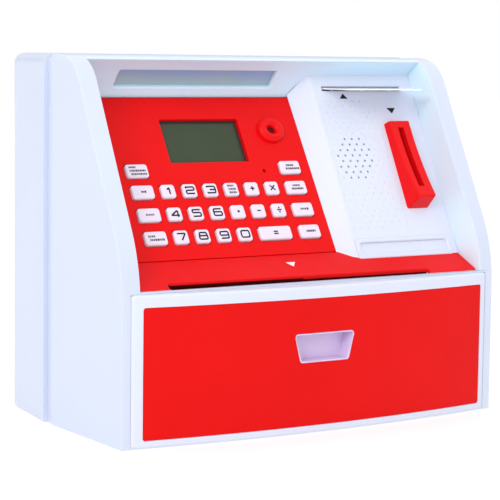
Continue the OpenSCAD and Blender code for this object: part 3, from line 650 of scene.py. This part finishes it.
def flare():
    """A wedge that opens the inner face of the right side towards its lower front corner."""
    front, top = FRONT - 12, BAR_HIGH + FLARE_H
    wide = FLARE * (FLARE_BACK_Y - front) / (FLARE_BACK_Y - FRONT)
    x = INNER_X - 0.3
    bm = bmesh.new()
    points = [(x, FLARE_BACK_Y, BAR_HIGH), (x, front, BAR_HIGH), (INNER_X + wide, front, BAR_HIGH),
              (x, FLARE_BACK_Y, top), (x, front, top), (INNER_X + 0.01, front, top)]
    bmesh.ops.convex_hull(bm, input=[bm.verts.new(p) for p in points])
    bmesh.ops.recalc_face_normals(bm, faces=bm.faces)
    return bm


def outline_depth(y, z):
    """How far a point lies inside the front outline."""
    if z <= BEND_Z:
        return y - FRONT
    bend = BEND_R - hypot(y - BEND_Y, z - BEND_Z)
    if z <= BEND_END_Z:
        return bend
    slope = (y - BEND_END_Y) * cos(SLOPE) - (z - BEND_END_Z) * sin(SLOPE)
    if z <= BROW_Z + BROW_R * sin(SLOPE):
        return slope
    return BROW_R - hypot(min(0, y - BROW_Y), z - BROW_Z)


def quarter(r, steps):
    """How far in, and how far from the flat, each ring of a rounded edge lies, from the flat outwards."""
    return [(r * (1 - cos(pi / 2 * k / steps)), r * (1 - sin(pi / 2 * k / steps)))
            for k in range(steps + 1)]


def rear_cover():
    side = tan(COVER_LEAN) * (cover_high.y - COVER_Y)
    outer = cover_high.x
    plan = rounded([(-outer, COVER_Y), (outer, COVER_Y), (outer - side, cover_high.y),
                    (side - outer, cover_high.y)], [0, 0, COVER_BACK_R, COVER_BACK_R], 12)

    def layer(d, z, front=COVER_Y):
        """The plan moved in by d at its sides and back, at height z, with its front edge kept in place."""
        loop = inset(plan, d)
        for i in (0, 1):
            loop[i] = Vector((plan[i].x - copysign(d / cos(COVER_LEAN), plan[i].x), front))
        return [(p.x, p.y, z) for p in loop]

    bm = loft([layer(d, FLOOR + up) for d, up in reversed(quarter(COVER_FOOT_R, 4))]
              + [layer(d, cover_high.z - down) for d, down in quarter(COVER_TOP_R, 8)])
    cavity = loft([layer(d, z, COVER_Y - 5) for d, z in (
        (WALL, -20), (WALL, cover_high.z - WALL - 3), (WALL + 3, cover_high.z - WALL))])
    low, high = box_mm("battery_door")
    doorway = block((low.x - 0.3, high.y - 10, low.z - 0.3), (high.x + 0.3, high.y + 5, high.z + 0.3))
    screw_ways = [at(x, cover_high.y, z) @ Matrix.Rotation(pi / 2, 4, "X") for x, z in SCREWS]
    holes = [moved(lathe([(0, -2), (SCREW_HEAD_R, -2), (SCREW_HEAD_R, 10), (SCREW_R, 10), (SCREW_R, 26),
                          (0, 26)], 32), way) for way in screw_ways]
    bm = cut(bm, [cavity, doorway, *holes])
    # the rim that meets the front shell's neck
    bevel(bm, [e for e in bm.edges if all(abs(v.co.y - COVER_Y) < 0.02 for v in e.verts)
               and all(v.co.z > FLOOR + 1 for v in e.verts) and len(e.link_faces) == 2
               and any(f.normal.y > -0.9 for f in e.link_faces)
               and all(outer - abs(v.co.x) < 1.7 or cover_high.z - v.co.z < 1.7
                       or hypot(outer - COVER_TOP_R - abs(v.co.x), v.co.z - cover_high.z + COVER_TOP_R)
                       > COVER_TOP_R - 1 for v in e.verts)], COVER_RIM_R, 4)
    for way in screw_ways:
        boss = lathe([(SCREW_R, 2.4), (BOSS_R, 2.4), (BOSS_R, 18), (SCREW_R, 18), (SCREW_R, 2.4)], 32)
        join(bm, moved(boss, way))
    add_piece("case_back", bm, "housing", ["rear_cover"], [white_plastic])


# ---- header


def hollow(bm):
    """Slices a header piece across its slope and sinks it on the header's curve."""
    for i in range(1, HEADER_SLICES):
        slice_at(bm, (0, -HEADER_LEN * i / HEADER_SLICES, 0), (0, 1, 0))
    for v in bm.verts:
        t = -v.co.y / HEADER_LEN
        v.co.z -= 4 * HEADER_SAG * t * (1 - t)
    return bm


def header():
    x0, s0, x1, s1 = HEADER_WINDOW
    # this frame's y runs up towards the lip, so lengths down from the lip are negative
    outline = rectangle(-EDGE_X, 0.2 - HEADER_LEN, EDGE_X, -0.3)
    hole = rectangle(x0, -s1, x1, -s0, 0.8)
    bm = hollow(plate(outline, [hole], 2.2, 0, 0.9, 4))
    guide = box_mm("card_guide")
    way = block((guide[0].x - 1, -FAR, TOP / 2), (guide[1].x + 1, FAR, guide[1].z + 0.6))
    bm = cut(moved(bm, ON_HEADER), [way])
    add_piece("header_strip", bm, "housing", ["header_panel"], [header_white])
    strip = hollow(plate(rectangle(x0 - 2, -s1 - 2, x1 + 2, 2 - s0, 0.5), (), 1.4, 0.2))
    add_piece("header_mirror", strip, "housing", ["header_window"], [mirror_strip],
              place=ON_HEADER @ above(-2.35))


# ---- keypad


def key_table():
    """Name, centre and width of every key, from the top row down."""
    table = []
    for row, (left, middle, right) in zip((3, 2, 1, 0), KEY_ROWS):
        s = FIRST_ROW + row * KEY_PITCH_S - (TOP_ROW_DROP if row == 3 else 0)
        table.append((left, LEFT_COLUMN, s, SIDE_W))
        for column, name in enumerate(middle.split()):
            if name == "equals":  # takes two columns
                table.append((name, FIRST_DIGIT + (column + 0.5) * KEY_PITCH_X, s, KEY_W + KEY_PITCH_X - 1))
            else:
                table.append((name, FIRST_DIGIT + column * KEY_PITCH_X, s, KEY_W))
        table.append((right, RIGHT_COLUMN, s, SIDE_W))
    return table


def key_outline(x, s, width, grow=0.0, r=KEY_R):
    reach, half = width / 2 + grow, KEY_L / 2 + grow
    return rectangle(x - reach, s - half, x + reach, s + half, r)


def fascia():
    holes = [key_outline(x, s, width, 0.3, KEY_R + 0.1) for _, x, s, width in key_table()]
    holes += [rectangle(*LCD_OPENING, 0.5), circle(*RING_AT, 3), circle(*MIC_AT, 1)]
    bm = plate(rectangle(-PANEL_X, 0.1, ISLAND_FOOT_X - 0.2, FASCIA_LEN), holes, SKIN, 0.25, 0.35)
    add_piece("keypad_panel", bm, "housing", ["keypad_fascia"], [red_plastic], place=ON_FASCIA)


def corners(points, closed):
    """A polyline with its corners rounded."""
    points = [Vector(p) for p in points]
    if closed:
        return rounded(points, STROKE_BEND_R, 4)
    out = [points[0]]
    for before, p, after in zip(points, points[1:], points[2:]):
        a, b = before - p, after - p
        reach = min(STROKE_BEND_R, a.length * 0.45, b.length * 0.45)
        start, end = p + a.normalized() * reach, p + b.normalized() * reach
        out += [start.lerp(p, t).lerp(p.lerp(end, t), t) for t in (0, 0.25, 0.5, 0.75, 1)]
    return out + [points[-1]]


X, S = 2.5, 1.95  # half sizes of a digit's centre line
# Each glyph is a list of strokes. A stroke that ends where it starts is closed, and a lone point is a dot.
GLYPHS = {
    "1": [[(-0.9, S - 1.1), (0.5, S), (0.5, -S)]],
    "2": [[(-X, S - 0.8), (-X, S), (X, S), (X, 0), (-X, 0), (-X, -S), (X, -S)]],
    "3": [[(-X, S - 0.6), (-X, S), (X, S), (X, -S), (-X, -S), (-X, 0.6 - S)], [(-0.9, 0), (X, 0)]],
    "4": [[(X - 0.9, -S), (X - 0.9, S), (-X, -0.9), (X, -0.9)]],
    "5": [[(X - 0.1, S), (-X, S), (-X, 0.2), (X, 0.2), (X, -S), (-X, -S)]],
    "6": [[(X - 0.2, S), (-X, S), (-X, -S), (X, -S), (X, 0.2), (-X + 0.4, 0.2)]],
    "7": [[(-X, S), (X, S), (-0.3, -S)]],
    "8": [[(0.3 - X, S), (X - 0.3, S), (X - 0.3, 0.1), (X, 0), (X, -S), (-X, -S), (-X, 0), (0.3 - X, 0.1),
           (0.3 - X, S)], [(-X + 0.4, 0.1), (X - 0.4, 0.1)]],
    "9": [[(X - 0.4, -0.2), (-X, -0.2), (-X, S), (X, S), (X, -S), (0.2 - X, -S)]],
    "0": [[(-X, -S), (X, -S), (X, S), (-X, S), (-X, -S)]],
    "plus": [[(-1.3, 0), (1.3, 0)], [(0, -1.3), (0, 1.3)]],
    "minus": [[(-1.2, 0), (1.2, 0)]],
    "times": [[(-1.5, -1.5), (1.5, 1.5)], [(-1.5, 1.5), (1.5, -1.5)]],
    "divide": [[(-1.4, 0), (1.4, 0)], [(0, 1.3)], [(0, -1.3)]],
    "equals": [[(-1.4, 0.65), (1.4, 0.65)], [(-1.4, -0.65), (1.4, -0.65)]],
    "point": [[(0, 0)]],
}
# Function keys carry rows of short dashes in place of words: the start and length of each row
LABEL_ROWS = {"menu": [(-4.8, 4.6), (-4.8, 10), (-4.2, 9.4)], "enter": [(-2.6, 5), (-3.4, 9)],
              "account": [(-1.3, 3)], "memory": [(-2.4, 4), (-2.2, 5), (-2.0, 4.4)],
              "clear": [(-2.4, 5), (-3.4, 7.6)], "deposit": [(-2.4, 5)], "withdraw": [(-2.0, 5.7)],
              "clock": [(-4.6, 4), (-4.0, 9)], "alarm": [(-2.6, 6.6)]}
DIGIT_STROKE, SIGN_STROKE, STROKE_BEND_R, PRINT_H = 0.85, 0.75, 0.9, 0.12
LABEL_STROKE, LABEL_PITCH, LABEL_GAP, LABEL_H = 1.3, 2.05, 0.28, 0.08
POINT_R, DIVIDE_DOT_R = 0.75, 0.5


def glyph(name):
    """The printing of one key, about its own centre, and the material slot that it takes."""
    bm = bmesh.new()
    if name in LABEL_ROWS:
        rows = LABEL_ROWS[name]
        for row, (x, length) in enumerate(rows):
            s = ((len(rows) - 1) / 2 - row) * LABEL_PITCH
            end = x + length
            while x < end - 0.4:
                dash = min(end - x, random.uniform(0.5, 1.3))
                tall = LABEL_STROKE * random.uniform(0.75, 1.0)
                join(bm, stroke([(x, s), (x + dash, s)], tall, LABEL_H))
                x += dash + LABEL_GAP
        return bm, 2
    width = DIGIT_STROKE if name.isdigit() else SIGN_STROKE
    for points in GLYPHS[name]:
        if len(points) == 1:
            dot = circle(*points[0], POINT_R if name == "point" else DIVIDE_DOT_R, 12)
            join(bm, moved(plate(dot, (), PRINT_H, 0), above(PRINT_H)))
        else:
            closed = points[0] == points[-1]
            join(bm, stroke(corners(points[:-1] if closed else points, closed), width, PRINT_H, closed))
    return bm, 1


def keys():
    for name, x, s, width in key_table():
        cap = plate(key_outline(x, s, width), (), KEY_RISE + SKIN + 0.34, KEY_EDGE, steps=6)
        flange = plate(key_outline(x, s, width, KEY_FLANGE, KEY_R + 0.3), (), 0.9, 0)
        bm = join(moved(cap, above(KEY_RISE)), moved(flange, above(-SKIN - 0.35)))
        mark, slot_index = glyph(name)
        join(bm, moved(mark, at(x, s, KEY_RISE - 0.06)), slot_index)
        add_piece("keycap_" + name, bm, "keycap_" + name, ["key_" + name], [key_white, ink, grey_ink],
                  place=ON_FASCIA)


def display_module():
    """Blank glass with a dark gasket round it, behind the opening."""
    x0, s0, x1, s1 = LCD_OPENING
    gasket = plate(rectangle(x0 - 1.5, s0 - 1.5, x1 + 1.5, s1 + 1.5),
                   [rectangle(x0 + 1.1, s0 + 0.9, x1 - 1.3, s1 - 1.2)], 2.6, 0, 0.15, 1)
    glass = moved(plate(rectangle(x0, s0, x1, s1), (), 1.2, 0), above(-0.3))
    add_piece("display", join(gasket, glass, 1), "housing", ["lcd_module"], [black_plastic, display],
              place=ON_FASCIA @ above(-SKIN - 0.1))


def camera():
    """Soft oval ring round a dark lens that sits low in it."""
    place = ON_FASCIA @ at(*RING_AT, 0.1) @ Matrix.Diagonal((1, RING_OVAL, 1, 1))
    profile = [(RING_HOLE_R, -0.2), (RING_HOLE_R, 0.7)]
    profile += [tuple(p) for p in arc(RING_R, TORUS_Z, TORUS_R, 170, 0, 17)]
    profile += [(RING_R + TORUS_R, -0.2), (RING_HOLE_R, -0.2)]
    add_piece("lens_ring", lathe(profile, 72), "housing", ["camera_ring"], [red_gloss], 40, place)
    lens = lathe([(0, -1), (LENS_R, -1), (LENS_R, 0.9), (2.15, 1.1), (1.5, 1.0), (1.3, 0.6), (0.8, 0.85),
                  (0, 0.95)], 48)
    add_piece("lens", lens, "housing", ["camera_lens"], [lens_dark], 30, place)


# ---- ledge


def arrow(size, shape, up, place):
    """A plain printed triangle, its height given as a share of its width."""
    h = size * shape
    points = [(-size / 2, -h / 2), (size / 2, -h / 2), (0, h / 2)]
    if not up:
        points = [(x, -y) for x, y in points]
    return moved(plate([Vector(p) for p in points], (), PRINT_H, 0), at(*place, 0.08))


def ledge():
    """Sloping shelf with a notch along its front edge, and a wall that drops behind the notch, in near-black
    red as painted shadow.
    """
    (left, right), (deep, shallow), back, wall_t = NOTE_X, NOTE_DEPTH, LEDGE_LEN + 0.5, 1.4
    outline = rounded([(-EDGE_X, 0.3), (left, 0.3), (left, deep), (right, shallow), (right, 0.3),
                       (EDGE_X + FLARE * 0.9, 0.3), (EDGE_X, LEDGE_LEN - 3), (EDGE_X, back), (-EDGE_X, back)],
                      [0, 1.05, 0.7, 0.7, 1.05, 2.6, 0, 0, 0])
    bm = plate(outline, (), 1.9, 1.0, steps=4)
    wall = [(left - 1, deep), (right + 1, shallow), (right + 1, shallow + wall_t), (left - 1, deep + wall_t)]
    # the wall behind the notch takes the near-black red: painted shadow of the slot
    join(bm, moved(plate([Vector(p) for p in wall], (), 4, 0), above(-1.2)), 1)
    add_piece("note_ledge", bm, "housing", ["banknote_ledge"], [red_plastic, red_painted_shadow],
              place=ON_LEDGE)
    mark = arrow(6.0, 0.66, False, NOTE_ARROW_AT)
    add_piece("note_arrow", mark, "housing", (), [white_ink], place=ON_LEDGE)


# ---- card and coin panel


def grid_points():
    """The sound holes, and the dimples that carry their pattern over the rest of the field."""
    holes, dimples = [], []
    for r in GRID_ROWS:
        s = GRID_S + ((len(SPEAKER_ROWS) - 1) / 2 - r) * ROW
        start = -3 if r % 2 == 0 else -2.5
        for i in range(GRID_COLUMNS):
            column = start + i
            inside = 0 <= r < len(SPEAKER_ROWS) and (
                SPEAKER_ROWS[r][0] - 0.01 <= column <= SPEAKER_ROWS[r][0] + SPEAKER_ROWS[r][1] - 0.99)
            (holes if inside else dimples).append((GRID_X + column * PITCH, s))
    return holes, dimples


def card_panel():
    holes, dimples = grid_points()
    slot_s = [(card_low.z + rise - ISLAND_Z) / cos(SLOPE) for rise in (-0.9, 1.9)]
    x0, s0, x1, s1 = POCKET
    # the face's hole for the pocket stays clear of the inner wall of the pocket's frame
    openings = [rectangle(card_low.x - 1, slot_s[0], card_high.x + 1, slot_s[1], 0.3),
                rectangle(*COIN_SLOT, 0.3), rectangle(x0 - 0.5, s0 - 0.5, x1 + 0.5, s1 + 0.5, 0.6)]
    face = plate(rectangle(ISLAND_X + SOFT_EDGE, -2, EDGE_X, ISLAND_LEN + 1),
                 openings + [circle(*p, HOLE_R, 12) for p in holes], SKIN, 0, 0.15, 1)
    # dimples: shallow cones sunk into the face
    cutters = bmesh.new()
    for x, s in dimples:
        join(cutters, moved(lathe([(0, -0.9), (0.7, 0.08), (0, 0.4)], 10), at(x, s)))
    face = cut(face, [cutters])
    # the soft edge and the flat bevel down to the fascia
    side = bmesh.new()
    low, high = [[side.verts.new(p) for p in bevel_row(s)] for s in (0.0, ISLAND_LEN + 1)]
    for k in range(len(low) - 1):
        side.faces.new((low[k], low[k + 1], high[k + 1], high[k]))
    bm = join(moved(face, ON_ISLAND), side)
    # raised frame and floor of the pocket
    pocket_frame = plate(rectangle(x0 - 3, -1, x1 + 2.5, s1 + 2.8, 1.2), [rectangle(*POCKET, 1.2)],
                         POCKET_FRAME_H, 0.75, 0.8, 5, back=False, hole_depth=1.6)
    join(bm, moved(pocket_frame, ON_ISLAND @ above(POCKET_FRAME_H)))
    floor = plate(rectangle(x0 - 1.5, s0 - 1.5, x1 + 1.5, s1 + 1.5), (), 0.6, 0)
    join(bm, moved(floor, ON_ISLAND @ above(POCKET_FLOOR)))
    for x in RIBS_X:
        rib = block((x - 0.7, slot_s[0] - 0.3, -2.0), (x + 0.7, slot_s[0] + 0.75, 0.0))
        bevel(rib, list(rib.edges), 0.15, 2)
        join(bm, moved(rib, ON_ISLAND))
    add_piece("card_panel", bm, "housing", ["service_panel"], [panel_white])
    line = stroke([(LINE_X, s) for s in LINE_S], 0.35, 0.1)
    add_piece("panel_line", line, "housing", (), [panel_white], place=ON_ISLAND)
    marks = join(arrow(5.3, 0.62, True, CARD_ARROW_AT), arrow(6.2, 0.55, False, COIN_ARROW_AT))
    add_piece("panel_arrows", marks, "housing", (), [ink], place=ON_ISLAND)


def bevel_row(s):
    """Points across the soft edge at height s: from the face round to the foot on the fascia."""
    corner = ON_ISLAND @ Vector((ISLAND_X, s, 0))
    face_way = (ON_ISLAND.to_3x3() @ Vector((1, 0, 0))).normalized()
    fascia_s = s / ISLAND_LEN * (FASCIA_LEN + 2) - 1
    foot = ON_FASCIA @ Vector((ISLAND_FOOT_X, fascia_s, -0.3))
    down = foot - corner
    start, end = corner + face_way * SOFT_EDGE, corner + down.normalized() * SOFT_EDGE
    return [start.lerp(corner, t).lerp(corner.lerp(end, t), t) for t in (0, 0.2, 0.4, 0.6, 0.8, 1)] + [foot]


def coin_moulding():
    """Slim wedge with a hollowed front, flanks that lean in, and a groove down it."""
    front = []
    for i in range(17):
        t = i / 16
        front.append((COIN_FOOT_S + t * (COIN_TOP_S - COIN_FOOT_S),
                      COIN_FOOT_H + (COIN_TOP_H - COIN_FOOT_H) * t - COIN_SAG * t * (1 - t)))
    bm = prism([(COIN_S[0], -0.5), *front, (COIN_S[1], COIN_TOP_H - 0.8), (COIN_S[1], -0.5)], *COIN_X)
    for v in bm.verts:
        v.co.x += max(0, v.co.z) * COIN_LEAN[v.co.x > sum(COIN_X) / 2]
    rim = [e for e in bm.edges if all(v.co.z > 0.5 for v in e.verts)
           and (abs(e.verts[0].co.x - e.verts[1].co.x) < 3
                or all(min(abs(v.co.y - COIN_FOOT_S), abs(v.co.y - COIN_S[1])) < 0.01 for v in e.verts))]
    rim += [e for e in bm.edges if abs(e.verts[0].co.z - e.verts[1].co.z) > 1 and e not in rim]
    bevel(bm, rim, COIN_EDGE, 4)
    groove = block((COIN_SLOT[0], COIN_SLOT[1], -1.5), (COIN_SLOT[2], COIN_SLOT[3], 30))
    add_piece("coin_moulding", cut(bm, [groove]), "housing", ["coin_slot_bezel"], [red_gloss], 40,
              ON_ISLAND)


def card():
    outline = rectangle(card_low.x, card_low.y, card_high.x, card_high.y, 3.2, 8)
    bm = moved(plate(outline, (), card_high.z - card_low.z, 0.15, steps=2), above(card_high.z))
    add_piece("card_blank", bm, "card", ["bank_card"], [card_white])


# ---- drawer


def bow(x):
    """Front surface of the bowed drawer at x."""
    return BOW_Y - sqrt(BOW_R ** 2 - x ** 2)


def bend(bm, flat_back=None):
    """Slices a plate drawn with its up along y and wraps it, standing, on the bow of the front.

    flat_back, if given, is a depth and a y: whatever lies deeper than the depth goes to that y.
    """
    count = int(DRAWER_X / BOW_STEP)
    for i in range(-count, count + 1):
        slice_at(bm, (i * BOW_STEP, 0, 0), (1, 0, 0))
    for v in bm.verts:
        x, z, depth = v.co.x, v.co.y, -v.co.z
        y = bow(x) + depth
        if flat_back is not None and depth > flat_back[0]:
            y = flat_back[1]
        v.co = (x, y, z)
    return bm


def pull_shape(grow, r=1.2):
    low, high = PULL_Z[0] - grow, PULL_Z[1] + grow
    return rounded([(PULL_X - PULL_BOTTOM_W / 2 - grow, low), (PULL_X + PULL_BOTTOM_W / 2 + grow, low),
                    (PULL_X + PULL_TOP_W / 2 + grow, high), (PULL_X - PULL_TOP_W / 2 - grow, high)], r, 6)


def inlay_outline(grow, r=0.0):
    return rectangle(INLAY_X[0] - grow, INLAY_Z[0] - grow, INLAY_X[1] + grow, INLAY_Z[1] + grow, r)


def drawer_face():
    # the visible gap round the front is narrower than the working clearance
    outline = rectangle(-DRAWER_X - 0.3, 0.35, DRAWER_X + 0.3, DRAWER_Z[1] + 0.46, 1.6, 8)
    face = plate(outline, [inlay_outline(0, 1.4)], 20, 1.6, 0.3, 6, back=False, hole_depth=INLAY_SINK + 1.2)
    bm = bend(face, (19, DRAWER_BACK))
    floor = plate(inlay_outline(1), [pull_shape(PULL_WALL)], 1.4, 0, 0)
    join(bm, bend(moved(floor, above(-INLAY_SINK - 1.15))))
    add_piece("drawer_face", bm, "drawer", ["drawer_front"], [drawer_white])
    sheet = plate(inlay_outline(-0.06, 1.3), [pull_shape(PULL_WALL + 0.05, 2.0)], INLAY_T, 0.2, 0.15, 2)
    add_piece("drawer_sheet", bend(moved(sheet, above(-INLAY_SINK))), "drawer", ["drawer_inlay"],
              [red_sheet])


def pull_cup():
    rim = plate(pull_shape(PULL_WALL - 0.05, 1.9), [pull_shape(0.75, 1.1)], PULL_DEPTH + 1.4, 0.35, 0.45, 5,
                hole_depth=PULL_DEPTH - 0.4)
    floor = moved(plate(pull_shape(0.85, 1.4), (), 0.8, 0), above(0.4 - PULL_DEPTH))
    join(rim, floor)
    for v in rim.verts:
        v.co = (v.co.x, bow(0) + 0.3 - v.co.z + (bow(v.co.x) - bow(0)) * (v.co.z > -2), v.co.y)
    # the cup's lilac colour is painted shade on a white part
    add_piece("finger_cup", rim, "drawer", ["drawer_pull"], [cup_white_painted_shade])


# ---- what stays as it is


def paint(node, mat):
    """Gives a carried-over node its finish."""
    mesh = frame["nodes"][node].data
    mesh.materials.clear()
    mesh.materials.append(mat)


def inner_pieces():
    for node, width, mat, slot in (
            ("drawer_tray", 0.6, drawer_white, "drawer"), ("drawer_rails", 0.4, inner_white, "inner"),
            ("battery_door", 0.35, white_plastic, "shell"), ("card_guide", 0.3, inner_white, "inner"),
            ("latch_bracket", 0.3, inner_white, "inner"), ("card_sensor", 0.3, black_plastic, "black")):
        soften(node, width, mat)
    for node, mat in (("base_plate", white_plastic), ("keypad_mat", grey_rubber),
                      ("main_board", laminate), ("speaker", black_plastic), ("coin_chute", black_plastic),
                      ("battery_box", black_plastic), ("batteries", cell_wrap), ("battery_contacts", steel),
                      ("wiring", wire_red), ("latch_lever", inner_white), ("latch_pin", steel),
                      ("latch_coil", copper), ("case_screws", steel), ("feet", dark_rubber)):
        paint(node, mat)


# ---- camera, light and floor


CAMERA_AT, LENS, SENSOR = (-0.57125, -0.88184, 0.19924), 134.85, 36  # metres, mm, mm
AZIMUTH, ELEVATION, ROLL = radians(-32.92), radians(5.92), radians(0.76)
# Where each level of the sky starts: white at the horizon, a darker band above it, a bright ceiling
SKY = ((0.08, 1.0), (0.13, 0.12), (0.26, 0.12), (0.45, 1.22))
LIGHTS = (("key_light", (-1.7, -1.1, 1.15), 12.8, 0.6), ("side_light", (-1.1, -1.9, 0.7), 7.4, 0.8))
AIM = Vector((0, 0, 0.1))
FLOOR_HALF = 6


def camera_and_light():
    scene = bpy.context.scene
    scene.view_settings.view_transform = "Standard"
    ahead = Vector((-sin(AZIMUTH) * cos(ELEVATION), cos(AZIMUTH) * cos(ELEVATION), -sin(ELEVATION)))
    right = Vector((cos(AZIMUTH), sin(AZIMUTH), 0))
    up = right.cross(ahead)
    right, up = right * cos(ROLL) + up * sin(ROLL), up * cos(ROLL) - right * sin(ROLL)
    cam = bpy.data.cameras.new("camera")
    cam.lens, cam.sensor_width, cam.clip_end = LENS, SENSOR, 20
    view = bpy.data.objects.new("camera", cam)
    view.matrix_world = Matrix((right, up, -ahead)).transposed().to_4x4()
    view.matrix_world.translation = CAMERA_AT
    scene.collection.objects.link(view)
    scene.camera = view

    world = bpy.data.worlds.new("studio")
    world.use_nodes = True
    tree = world.node_tree
    sky = add(tree, "ValToRGB", Fac=axis(tree, "Generated", "Z"))
    while len(sky.color_ramp.elements) < len(SKY):
        sky.color_ramp.elements.new(0.5)
    for element, (height, level) in zip(sky.color_ramp.elements, SKY):
        element.position = height
        element.color = (level, level, level, 1)
    put(tree.nodes["Background"], Color=sky.outputs[0])
    scene.world = world

    for name, place, power, width in LIGHTS:
        lamp = bpy.data.lights.new(name, "AREA")
        lamp.energy, lamp.size = power, width
        obj = bpy.data.objects.new(name, lamp)
        obj.location = place
        obj.rotation_euler = (AIM - Vector(place)).to_track_quat("-Z", "Y").to_euler()
        scene.collection.objects.link(obj)


def paper_floor():
    mesh = bpy.data.meshes.new("floor")
    points = [(x * FLOOR_HALF, y * FLOOR_HALF, 0) for x, y in ((-1, -1), (1, -1), (1, 1), (-1, 1))]
    mesh.from_pydata(points, [], [(0, 1, 2, 3)])
    floor = bpy.data.objects.new("floor", mesh)
    mat, tree, shader = new_material("floor_paper")
    put(shader, Base_Color=ramp(tree, noise(tree, 3, 2), (0.50, 0.50, 0.51), (0.52, 0.52, 0.53)),
        Roughness=0.9, Emission_Color=(1, 1, 1, 1), Emission_Strength=0.5)
    mesh.materials.append(mat)
    bpy.context.scene.collection.objects.link(floor)


camera_and_light()
paper_floor()
front_shell()
rear_cover()
header()
fascia()
keys()
display_module()
camera()
ledge()
card_panel()
coin_moulding()
card()
drawer_face()
pull_cup()
inner_pieces()
